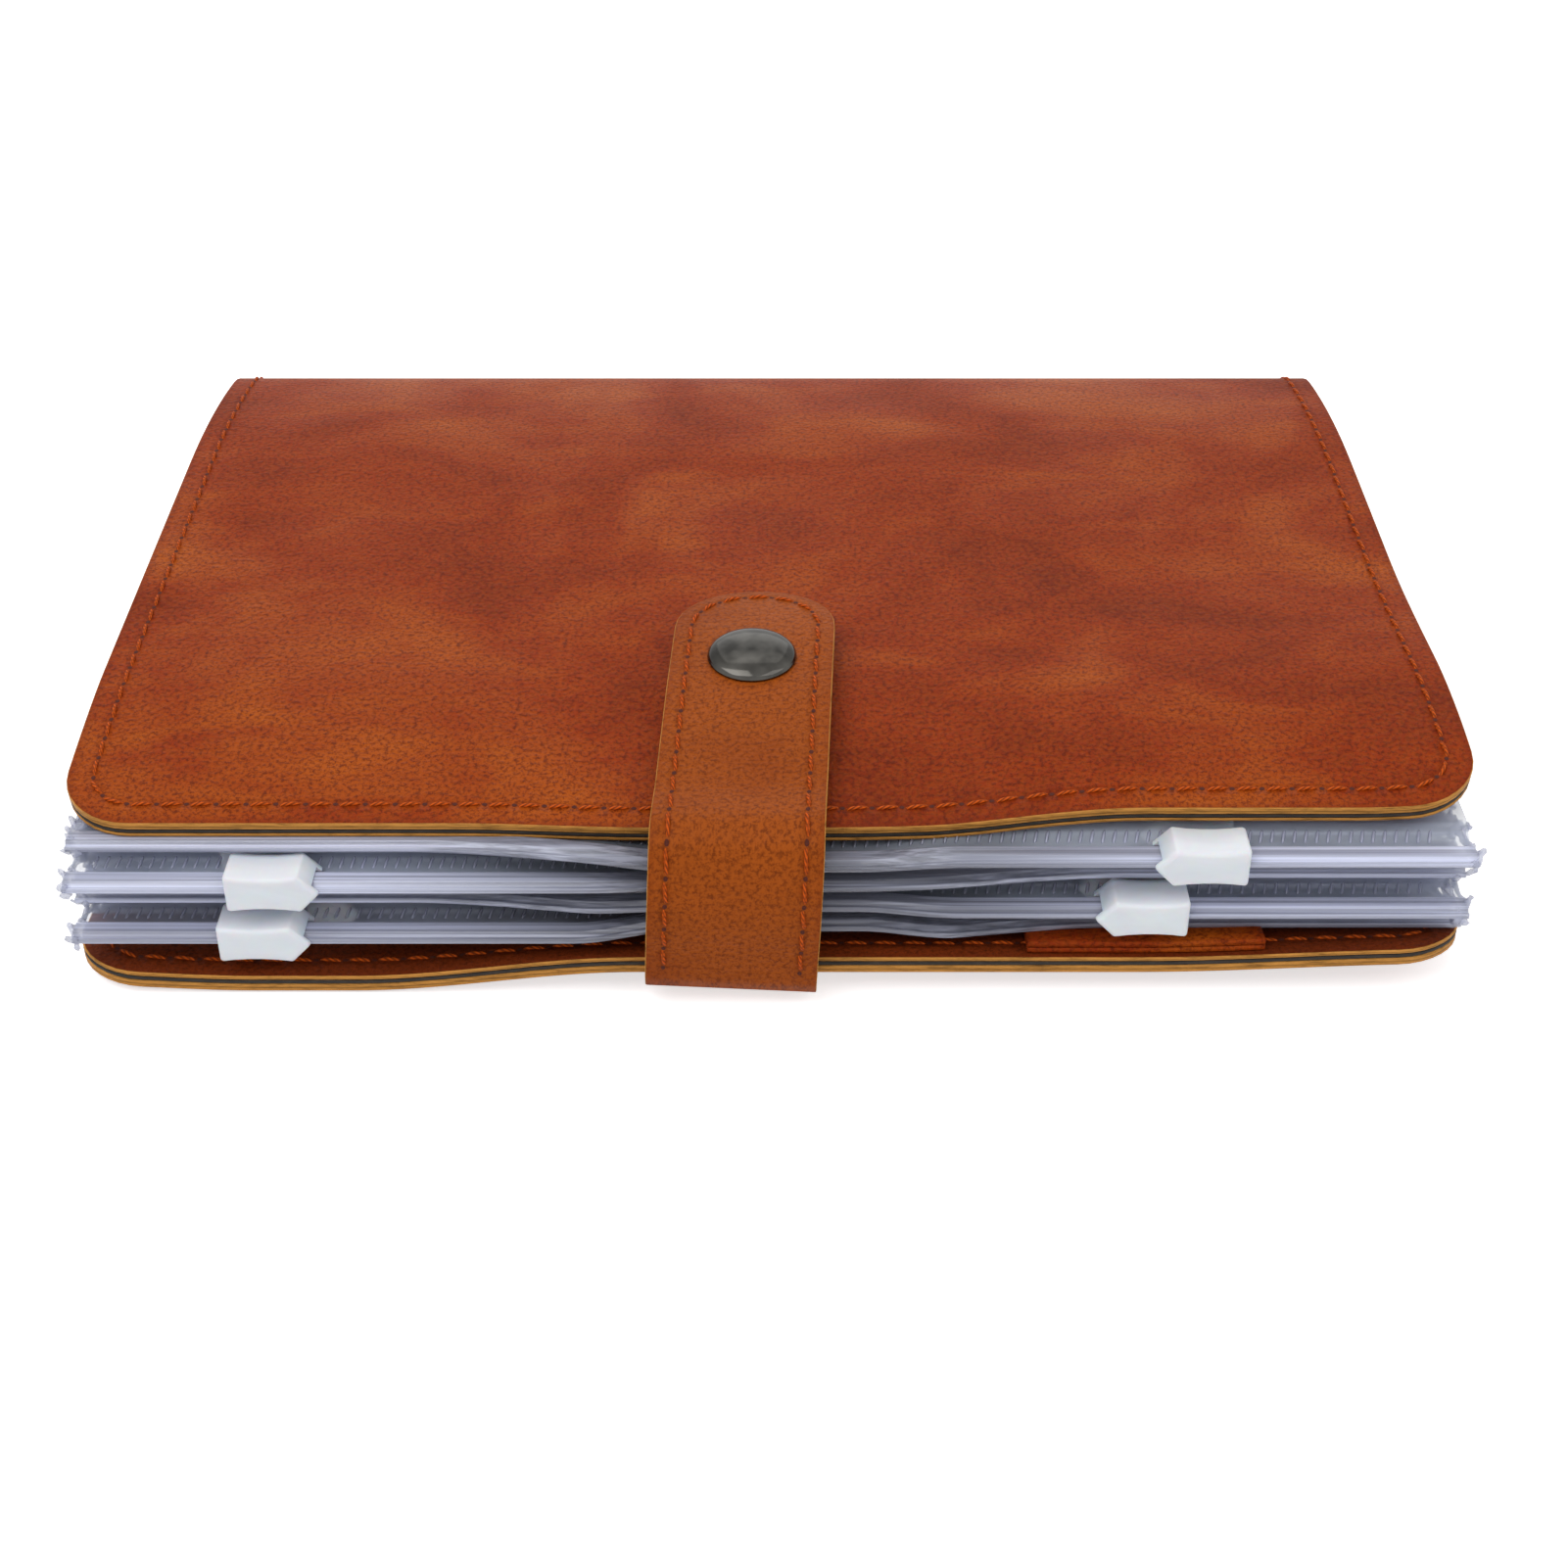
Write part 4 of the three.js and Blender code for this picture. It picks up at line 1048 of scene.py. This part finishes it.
class BINDER_OT_strap(bpy.types.Operator):
    """Bend the strap over the fore-edge and sew its seam"""
    bl_idname = "binder.strap"
    bl_label = "Strap"

    def execute(self, context):
        sizes = context.scene.binder_sizes
        finishes = materials(context.scene)
        draw = random.Random(sizes.seed + 1)
        surface = Surface()
        add_sheet(surface, STRAP_OUTLINE, strap_place, edge_levels(0.0, STRAP, EDGE_RADIUS), STRAP_STEP)
        strap = surface.finish("strap_leather_band", [finishes["strap"]], None, "strap_leather")
        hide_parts("strap_root", "strap_backing", "strap_face")
        blend_strap(strap)
        seam = STRAP_OUTLINE.inset(sizes.strap_inset / MM)
        start = STRAP_FOLD + SEAM_PAST_FOLD
        flipped = Outline(seam.half, 0.0, seam.end - start, seam.end_corner, 0.0)
        path = [(off, seam.end - run) for off, run in flipped.path(seam.end - start)]
        surface = Surface()
        add_stitches(surface, path, strap_place, 0.0, 1, sizes.thread_radius / MM,
                     sizes.stitch_pitch / MM, draw)
        surface.finish("strap_seam", [finishes["thread"], finishes["hole"]], "strap", "strap_leather")
        return {"FINISHED"}


def turned(surface, profile, segments, place):
    """A turned shape from (radius, height) pairs, put in place by a function."""
    rings = []
    for radius, height in profile:
        ring = []
        for k in range(segments):
            turn = 2 * math.pi * k / segments
            ring.append(surface.add(place(radius * math.cos(turn), radius * math.sin(turn), height)))
        rings.append(ring)
    surface.tube(rings)


class BINDER_OT_snap_cap(bpy.types.Operator):
    """Dome the snap's cap with its rolled rim"""
    bl_idname = "binder.snap_cap"
    bl_label = "Snap cap"

    def execute(self, context):
        y, z, heading = cover_profile(SNAP_REACH)
        low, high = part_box("snap_cap")
        centre = Vector(((low[0] + high[0]) / 2, y * MM, z * MM))
        turn = Matrix.Rotation(heading, 3, "X")
        base = STRAP_RISE + STRAP + 0.02
        profile = [(CAP_STEM, base - CAP_STEM_DEPTH), (CAP_STEM, base)]
        profile += [(CAP_RADIUS - inset, base + rise) for inset, rise in CAP_RIM]
        for angle in range(6, 91, 6):
            slope = math.radians(angle)
            radius = (CAP_RADIUS - DOME_INSET) * math.cos(slope) ** 0.9 if angle < 90 else 0.02
            profile.append((radius, base + DOME_BASE + (CAP_HEIGHT - DOME_BASE) * math.sin(slope) ** 1.1))
        surface = Surface()
        turned(surface, profile, 72, lambda u, v, h: centre + turn @ Vector((u, v, h)) * MM)
        piece = surface.finish("snap_cap_dome", [materials(context.scene)["cap"]], "strap", "chrome")
        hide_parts("snap_cap")
        return {"FINISHED"}


class BINDER_OT_rings(bpy.types.Operator):
    """Bend the ring halves, and finish the plate, rails, rivets and snap parts"""
    bl_idname = "binder.rings"
    bl_label = "Rings and plate"

    def execute(self, context):
        finishes = materials(context.scene)
        joint = RING_GAP / RING_RADIUS
        for number, x in enumerate(RING_X, 1):
            for name, side in (("upper", 1), ("lower", -1)):
                surface = Surface()
                rings = []
                for angle in steps(RING_ROOT_TURN, math.pi - joint, RING_STEP):
                    ring = []
                    shrink = RING_END_SHARE if angle > math.pi - joint - 0.01 else 1.0
                    for k in range(RING_SIDES):
                        turn = 2 * math.pi * k / RING_SIDES
                        reach = RING_RADIUS + RING_WIRE * shrink * math.sin(turn)
                        point = Vector((x + RING_WIRE * shrink * math.cos(turn),
                                        SPINE_Y + reach * math.cos(side * angle),
                                        SPINE_RADIUS + reach * math.sin(side * angle)))
                        ring.append(surface.add(point * MM))
                    rings.append(ring)
                surface.tube(rings)
                piece = surface.finish(f"ring_{number}_{name}_wire", [finishes["chrome"]], slot="chrome")
                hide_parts(f"ring_{number}_{name}")
        for node in ("ring_plate", "hinge_rail_upper", "hinge_rail_lower", "plate_rivet_left",
                     "plate_rivet_right", "snap_post", "snap_stud", "snap_socket"):
            bpy.data.objects[node].material_slots[0].material = finishes["steel"]
        return {"FINISHED"}


def pinch_share(x):
    """The strap squeezes the zips together at the middle."""
    return 1 - smooth(PINCH_CORE, PINCH_HALF, abs(x))


def pinched(x, z, share):
    """A height drawn towards the stack's middle under the strap."""
    return PINCH_Z + (z - PINCH_Z) * (1 - PINCH_SHARE * pinch_share(x) * share)


def zip_y(number):
    """Every second zip, from the lowest, lies behind the others."""
    return BACK_SLIDER_Y if number % 2 == 0 else FRONT_SLIDER_Y


def fan(number, x):
    """How far a front zip lies back on the side that its own slider never reaches."""
    if number % 2 == 0:
        return 0.0
    return FAN_DEPTH * smooth(*FAN_STARTS, -x * math.copysign(1, SLIDER_X[number]))


def zip_place(number, x, u, v):
    """A point of a zip track: u back from its middle, v up."""
    back = fan(number, x)
    y = zip_y(number) + TRACK_SHIFT + pinch_share(x) + back + u
    return Vector((x, y, pinched(x, ZIP_Z[number], 1) - FAN_DROP * back + v)) * MM


def film_height(number, x, y):
    """The film leaves its zip, crosses the zip below it and settles into the rings' stack."""
    z = ZIP_Z[number]
    if number % 2 == 1:
        under = ZIP_Z[number - 1]
        lower_side = math.copysign(1, SLIDER_X[number - 1])
        over_track = under + TRACK_HALF + FILM_OVER
        over_slider = under + SLIDER_HEIGHT / 2 + FILM_OVER
        crossed = mix(over_track, over_slider, smooth(-20, 20, lower_side * x))
        z = mix(z, crossed, smooth(-65.3, -62.3, y))
    stacked = SPINE_RADIUS + (number - STACK_MIDDLE) * STACK_PITCH
    settled = mix(z, stacked, smooth(SETTLE_Y, STACKED_Y, y))
    return pinched(x, settled, 1 - smooth(SETTLE_Y, SETTLE_Y + 45, y))


def film_front(number):
    """Where a film comes out of its zip track."""
    return zip_y(number) + TRACK_SHIFT + TRACK_DEPTH / 2 - FILM_IN_TRACK


def film_place(number, x, y, lift=0.0):
    """A point of a pouch's film, or of a mark that stands on it."""
    squeezed = pinch_share(x) * (1 - smooth(SETTLE_Y, SETTLE_Y + 8, y))
    back = fan(number, x) * (1 - smooth(film_front(number) + 3, SETTLE_Y + 6, y))
    ripple = RIPPLE * math.sin(x * 0.31 + number * 1.7) * math.sin(y * 0.23 + number) * smooth(-60, -30, y)
    z = film_height(number, x, y) + ripple + (lift - FAN_DROP * back)
    return Vector((x, y + (squeezed + back), z)) * MM


# Film: column and row steps, the holes round the rings, and the marks pressed behind the zip
FILM_STEP = 2.6
FILM_ROWS = ((-52, 0.8), (46, 3.0), (FILM_REAR_Y, 0.6))
NEAR_RING = 3.6
NEAR_RING_STEP = 0.6
RING_HOLE = 3
MARKS_INSET = 3
MARK_START = 1.5
MARK_SIDE = 0.24
MARK_HEIGHT = 0.26
MARK_RINGS = ((0.0, 0.3), (0.15, 1.0), (0.85, 1.0), (1.0, 0.3))
MARK_SLANT = 0.45
MARK_LENGTH = 1.7
MARK_LIFT = 0.02


class BINDER_OT_pouch_films(bpy.types.Operator):
    """Lay the clear films of the pouches, with the marks pressed behind each zip"""
    bl_idname = "binder.pouch_films"
    bl_label = "Pouch films"

    def execute(self, context):
        finishes = materials(context.scene)
        pitch = context.scene.binder_sizes.tooth_pitch / MM
        columns = set(steps(-POUCH_HALF, POUCH_HALF, FILM_STEP))
        for x in RING_X:
            columns = {column for column in columns if abs(column - x) > NEAR_RING}
            columns |= set(steps(x - NEAR_RING, x + NEAR_RING, NEAR_RING_STEP))
        columns = sorted(columns)
        hole_y = SPINE_Y - RING_RADIUS
        for number in range(len(ZIP_Z)):
            surface = Surface()
            front = film_front(number)
            rows = {front}
            start = front
            for end, step in FILM_ROWS:
                rows |= set(steps(start, end, step))
                start = end
            rows = sorted(rows)
            grid = [[surface.add(film_place(number, x, y), (x * MM, y * MM)) for y in rows] for x in columns]
            for i in range(len(columns) - 1):
                for j in range(len(rows) - 1):
                    x = (columns[i] + columns[i + 1]) / 2
                    y = (rows[j] + rows[j + 1]) / 2
                    if all(math.hypot(x - centre, y - hole_y) > RING_HOLE for centre in RING_X):
                        surface.face((grid[i][j], grid[i + 1][j], grid[i + 1][j + 1], grid[i][j + 1]))
            for k in range(int(2 * (POUCH_HALF - MARKS_INSET) / pitch)):
                x = -POUCH_HALF + MARKS_INSET + k * pitch
                self.add_mark(surface, number, x, front + MARK_START)
            piece = surface.finish(f"pouch_{number + 1}_clear_film", [finishes["film"], finishes["flash"]],
                                   slot="clear_film")
            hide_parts(f"pouch_{number + 1}_film")
        return {"FINISHED"}

    def add_mark(self, surface, number, x, y):
        """One slanting ridge pressed in the film."""
        rings = []
        for share, size in MARK_RINGS:
            at_x = x + MARK_SLANT * share
            at_y = y + MARK_LENGTH * share
            corners = ((-MARK_SIDE, 0.0), (0.0, MARK_HEIGHT), (MARK_SIDE, 0.0))
            rings.append([surface.add(film_place(number, at_x + side * size, at_y, MARK_LIFT + rise * size))
                          for side, rise in corners])
        surface.tube(rings, 1)


TRACK_RIBS = ((-1.95, 0.12), (-1.95, 0.32), (-1.75, 0.42), (-1.5, 0.30), (-1.25, 0.34), (-0.95, 0.88),
              (-0.75, 0.95), (-0.5, 0.82), (-0.25, 0.95), (0.0, 0.82), (0.3, 0.95), (0.6, 0.82), (0.9, 0.95),
              (1.3, 0.86), (1.6, 0.45), (1.95, 0.3), (1.95, 0.12))


# Weld flash at a pouch's end: two crumpled beads, the second further out, thinner and longer
BEAD_SIDES = 7
BEAD_STEP = 0.045
BEAD_FRONT = -2.1
BEAD_BACK = 6.5
BEAD_LONGER = 2
BEAD_INSET = 0.7
BEAD_APART = 0.9
BEAD_WANDER = 0.8
BEAD_THICK = 0.75
BEAD_THINNER = 0.25
BEAD_WAVE = 0.5
BEAD_FLATNESS = 0.9


class BINDER_OT_zip_tracks(bpy.types.Operator):
    """Run the ribbed zip tracks along the pouches and melt their ends"""
    bl_idname = "binder.zip_tracks"
    bl_label = "Zip tracks"

    def execute(self, context):
        finishes = materials(context.scene)
        draw = random.Random(context.scene.binder_sizes.seed + 2)
        section = list(TRACK_RIBS) + [(u, -v) for u, v in reversed(TRACK_RIBS)]
        for number in range(len(ZIP_Z)):
            surface = Surface()
            rings = [[surface.add(zip_place(number, x, u, v), (x * MM, u * MM)) for u, v in section]
                     for x in steps(-POUCH_HALF, POUCH_HALF, 1.6)]
            surface.tube(rings)
            for end in (-1, 1):
                self.add_flash(surface, number, end, draw)
            piece = surface.finish(f"pouch_{number + 1}_track", [finishes["track"], finishes["flash"]],
                                   slot="clear_track")
            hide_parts(f"pouch_{number + 1}_zip")
        return {"FINISHED"}

    def add_flash(self, surface, number, end, draw):
        """A crumpled bead where the pouch's end was welded and cut."""
        for bead in range(2):
            rings = []
            wander = draw.uniform(0, 6)
            for share in steps(0, 1, BEAD_STEP):
                y = mix(BEAD_FRONT, BEAD_BACK + BEAD_LONGER * bead, share)
                out = POUCH_HALF - BEAD_INSET + BEAD_APART * bead + BEAD_WANDER * math.sin(share * 9 + wander)
                thick = (BEAD_THICK - BEAD_THINNER * bead) * draw.uniform(0.55, 1.25) * (1 - 0.5 * share)
                height = BEAD_WAVE * math.sin(share * 13 + wander) * (1 + bead)
                ring = []
                for k in range(BEAD_SIDES):
                    turn = 2 * math.pi * k / BEAD_SIDES
                    reach = thick * draw.uniform(0.7, 1.3)
                    x = end * (out + reach * math.cos(turn))
                    rise = height + BEAD_FLATNESS * reach * math.sin(turn)
                    ring.append(surface.add(zip_place(number, x, y, rise)))
                rings.append(ring)
            surface.tube(rings, 1)


# Slider: its arrow point, waist and worn corners, and (depth, inset) across its rounded sides
SLIDER_POINT = 2.7
SLIDER_WAIST = 0.42
SLIDER_WORN = 0.55
SLIDER_BEVEL = ((3.15, 0.75), (3.13, 0.55), (3.02, 0.30), (2.82, 0.10), (2.5, 0.0))
CHANNEL_WALL = 0.85
CHANNEL_SLACK = 0.3
CHANNEL_HALF = 1.1
SLIT_HALF = 0.42
PAST_SLIDER = (5, 9)
SHARP_EDGE = math.radians(38)


def rounded(corners, radius, count=4):
    """A polygon with its corners rounded."""
    points = []
    for k, corner in enumerate(corners):
        here = Vector(corner)
        before = Vector(corners[k - 1]) - here
        after = Vector(corners[(k + 1) % len(corners)]) - here
        half_angle = before.angle(after) / 2
        reach = min(radius / math.tan(half_angle), 0.45 * min(before.length, after.length))
        low = here + before.normalized() * reach
        high = here + after.normalized() * reach
        for step in range(count + 1):
            t = step / count
            points.append(low.lerp(here, t).lerp(here.lerp(high, t), t))
    return points


def slider_mesh(pointing, finish):
    """A slider at the origin: a waisted block, hollow over the track and slit for the film."""
    half = SLIDER_LENGTH / 2
    tall = SLIDER_HEIGHT / 2
    shoulder = half - SLIDER_POINT
    waist = [(mix(-half, shoulder, share), tall - SLIDER_WAIST * math.sin(math.pi * share) ** 0.8)
             for share in (0.2, 0.4, 0.6, 0.8)]
    corners = [(-half, -tall)] + [(x, -z) for x, z in waist]
    corners += [(shoulder, -tall), (half, 0), (shoulder, tall)] + waist[::-1] + [(-half, tall)]
    outline = rounded(corners, SLIDER_WORN)
    surface = Surface()
    rings = []
    for y, inset in [(-y, inset) for y, inset in SLIDER_BEVEL] + list(reversed(SLIDER_BEVEL)):
        rings.append([surface.add(Vector((pointing * x * (1 - inset / half), y, z * (1 - inset / tall))) * MM)
                      for x, z in outline])
    if pointing < 0:
        rings = [list(reversed(ring)) for ring in rings]
    surface.tube(rings)
    front = -SLIDER_DEPTH / 2 + CHANNEL_WALL
    back = front + TRACK_DEPTH + CHANNEL_SLACK
    past_back, past_end = PAST_SLIDER
    lower = [(front, -CHANNEL_HALF), (back, -CHANNEL_HALF), (back, -SLIT_HALF), (past_back, -SLIT_HALF)]
    channel = lower + [(y, -z) for y, z in reversed(lower)]
    cutter = Surface()
    cutter.tube([[cutter.add(Vector((x, y, z)) * MM) for y, z in channel] for x in (-past_end, past_end)])
    objects = []
    for name, part in (("slider_block", surface), ("slider_channel", cutter)):
        mesh = bpy.data.meshes.new(name)
        mesh.from_pydata(part.points, [], part.faces)
        block = bpy.data.objects.new(name, mesh)
        bpy.context.scene.collection.objects.link(block)
        objects.append(block)
    for block in objects:
        outwards(block.data)
    cut = objects[0].modifiers.new("channel", "BOOLEAN")
    cut.object = objects[1]
    cut.solver = "EXACT"
    shape = objects[0].evaluated_get(bpy.context.evaluated_depsgraph_get())
    mesh = bpy.data.meshes.new_from_object(shape)
    for block in objects:
        bpy.data.objects.remove(block)
    mesh.materials.clear()
    mesh.materials.append(finish)
    mesh.shade_smooth()
    mesh.set_sharp_from_angle(angle=SHARP_EDGE)
    return mesh


def outwards(mesh):
    """Turn a closed mesh's faces to look out."""
    work = bmesh.new()
    work.from_mesh(mesh)
    bmesh.ops.recalc_face_normals(work, faces=work.faces)
    work.to_mesh(mesh)
    work.free()


class BINDER_OT_sliders(bpy.types.Operator):
    """Mould the milky sliders and put one on each zip"""
    bl_idname = "binder.sliders"
    bl_label = "Zip sliders"

    def execute(self, context):
        finish = materials(context.scene)["milky"]
        shapes = {side: slider_mesh(side, finish) for side in (-1, 1)}
        for number, x in enumerate(SLIDER_X):
            mesh = shapes[-1 if x > 0 else 1].copy()
            mesh.transform(Matrix.Translation(Vector((x, zip_y(number), ZIP_Z[number])) * MM))
            piece = bpy.data.objects.new(f"pouch_{number + 1}_milky_slider", mesh)
            context.scene.collection.objects.link(piece)
            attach(piece, f"slider_{number + 1}")
            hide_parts(f"pouch_{number + 1}_slider")
        return {"FINISHED"}


# Stage, in metres and watts; each lamp has a place, a turn in degrees, a size and a power
CAMERA_PLACE = (0.00216, -0.31806, 0.20065)
CAMERA_TILT = math.radians(56)
LENS = 53.49
SENSOR = 36
FLOOR_HALF = 3
FLOOR_Z = -0.0004
FLOOR_GLOW = 0.64
WORLD_LIGHT = 0.42
LAMPS = (
    ("key_light", (-0.45, -0.35, 0.95), (18, -24, 0), 0.9, 5.4),
    ("fill_light", (0.75, -0.45, 0.75), (25, 42, 0), 0.8, 2.6),
    ("back_light", (0.0, 0.9, 0.85), (-45, 0, 0), 1.0, 2.4),
)


class BINDER_OT_stage(bpy.types.Operator):
    """Set the camera, the soft lights and the pale floor"""
    bl_idname = "binder.stage"
    bl_label = "Stage"

    def execute(self, context):
        scene = context.scene
        scene.view_settings.view_transform = "Standard"
        lens = bpy.data.cameras.new("camera")
        lens.lens = LENS
        lens.sensor_width = SENSOR
        lens.clip_start = 0.01
        camera = bpy.data.objects.new("camera", lens)
        camera.location = CAMERA_PLACE
        camera.rotation_euler = (CAMERA_TILT, 0, 0)
        scene.collection.objects.link(camera)
        scene.camera = camera

        floor_mesh = bpy.data.meshes.new("floor")
        signs = ((-1, -1), (1, -1), (1, 1), (-1, 1))
        corners = [(x * FLOOR_HALF, y * FLOOR_HALF, FLOOR_Z) for x, y in signs]
        floor_mesh.from_pydata(corners, [], [(0, 1, 2, 3)])
        floor_mesh.materials.append(self.pale_floor())
        floor = bpy.data.objects.new("floor", floor_mesh)
        scene.collection.objects.link(floor)

        for name, place, turn, size, power in LAMPS:
            light = bpy.data.lights.new(name, "AREA")
            light.size = size
            light.energy = power
            lamp = bpy.data.objects.new(name, light)
            lamp.location = place
            lamp.rotation_euler = [math.radians(angle) for angle in turn]
            scene.collection.objects.link(lamp)
        self.light_world(scene)
        return {"FINISHED"}

    def seen_rays(self, finish):
        """One for rays seen straight, in gloss or through film, and none for light on the object."""
        path = finish.put("LightPath")
        seen = finish.math("MAXIMUM", path.outputs["Is Camera Ray"], path.outputs["Is Glossy Ray"])
        return finish.math("MAXIMUM", seen, path.outputs["Is Transmission Ray"])

    def pale_floor(self):
        """A white floor that takes the shadow and reads as white."""
        finish = Finish("pale_floor")
        grain = finish.noise(finish.solid(), 40, 2, 0.5)
        tones = [(0.3, (0.86, 0.86, 0.86)), (0.7, (0.88, 0.88, 0.88))]
        finish.surface("Base Color", finish.ramp(grain, tones))
        finish.surface("Roughness", 0.9)
        finish.surface("Emission Color", (1, 1, 1, 1))
        finish.surface("Emission Strength", finish.times(self.seen_rays(finish), FLOOR_GLOW))
        return finish.material

    def light_world(self, scene):
        """Even light from all round, and plain white behind everything."""
        finish = Finish("studio", world=True)
        finish.surface("Color", (1, 1, 1, 1))
        finish.surface("Strength", finish.spread(self.seen_rays(finish), 0.0, 1.0, WORLD_LIGHT, 1.0))
        scene.world = finish.material


OPERATORS = (
    BINDER_OT_stage,
    BINDER_OT_cover,
    BINDER_OT_cover_seams,
    BINDER_OT_pen_loop,
    BINDER_OT_strap,
    BINDER_OT_snap_cap,
    BINDER_OT_rings,
    BINDER_OT_pouch_films,
    BINDER_OT_zip_tracks,
    BINDER_OT_sliders,
)


class BINDER_PT_panel(bpy.types.Panel):
    """The binder's sizes, colours and pieces"""
    bl_idname = "BINDER_PT_panel"
    bl_label = "Ring Binder Notebook"
    bl_space_type = "VIEW_3D"
    bl_region_type = "UI"
    bl_category = "Binder"

    def draw(self, context):
        layout = self.layout
        scene = context.scene
        for title, group in (("Sizes", scene.binder_sizes), ("Colours", scene.binder_colours)):
            box = layout.box()
            box.label(text=title)
            for name in type(group).__annotations__:
                box.prop(group, name)
        box = layout.box()
        box.label(text="Pieces")
        for operator in OPERATORS:
            box.operator(operator.bl_idname)


CLASSES = (BinderSizes, BinderColours, *OPERATORS, BINDER_PT_panel)


def register():
    for item in CLASSES:
        bpy.utils.register_class(item)
    bpy.types.Scene.binder_sizes = PointerProperty(type=BinderSizes)
    bpy.types.Scene.binder_colours = PointerProperty(type=BinderColours)


def unregister():
    del bpy.types.Scene.binder_colours
    del bpy.types.Scene.binder_sizes
    for item in reversed(CLASSES):
        bpy.utils.unregister_class(item)


def main():
    register()
    for operator in OPERATORS:
        group, name = operator.bl_idname.split(".")
        getattr(getattr(bpy.ops, group), name)()


if __name__ == "__main__":
    main()
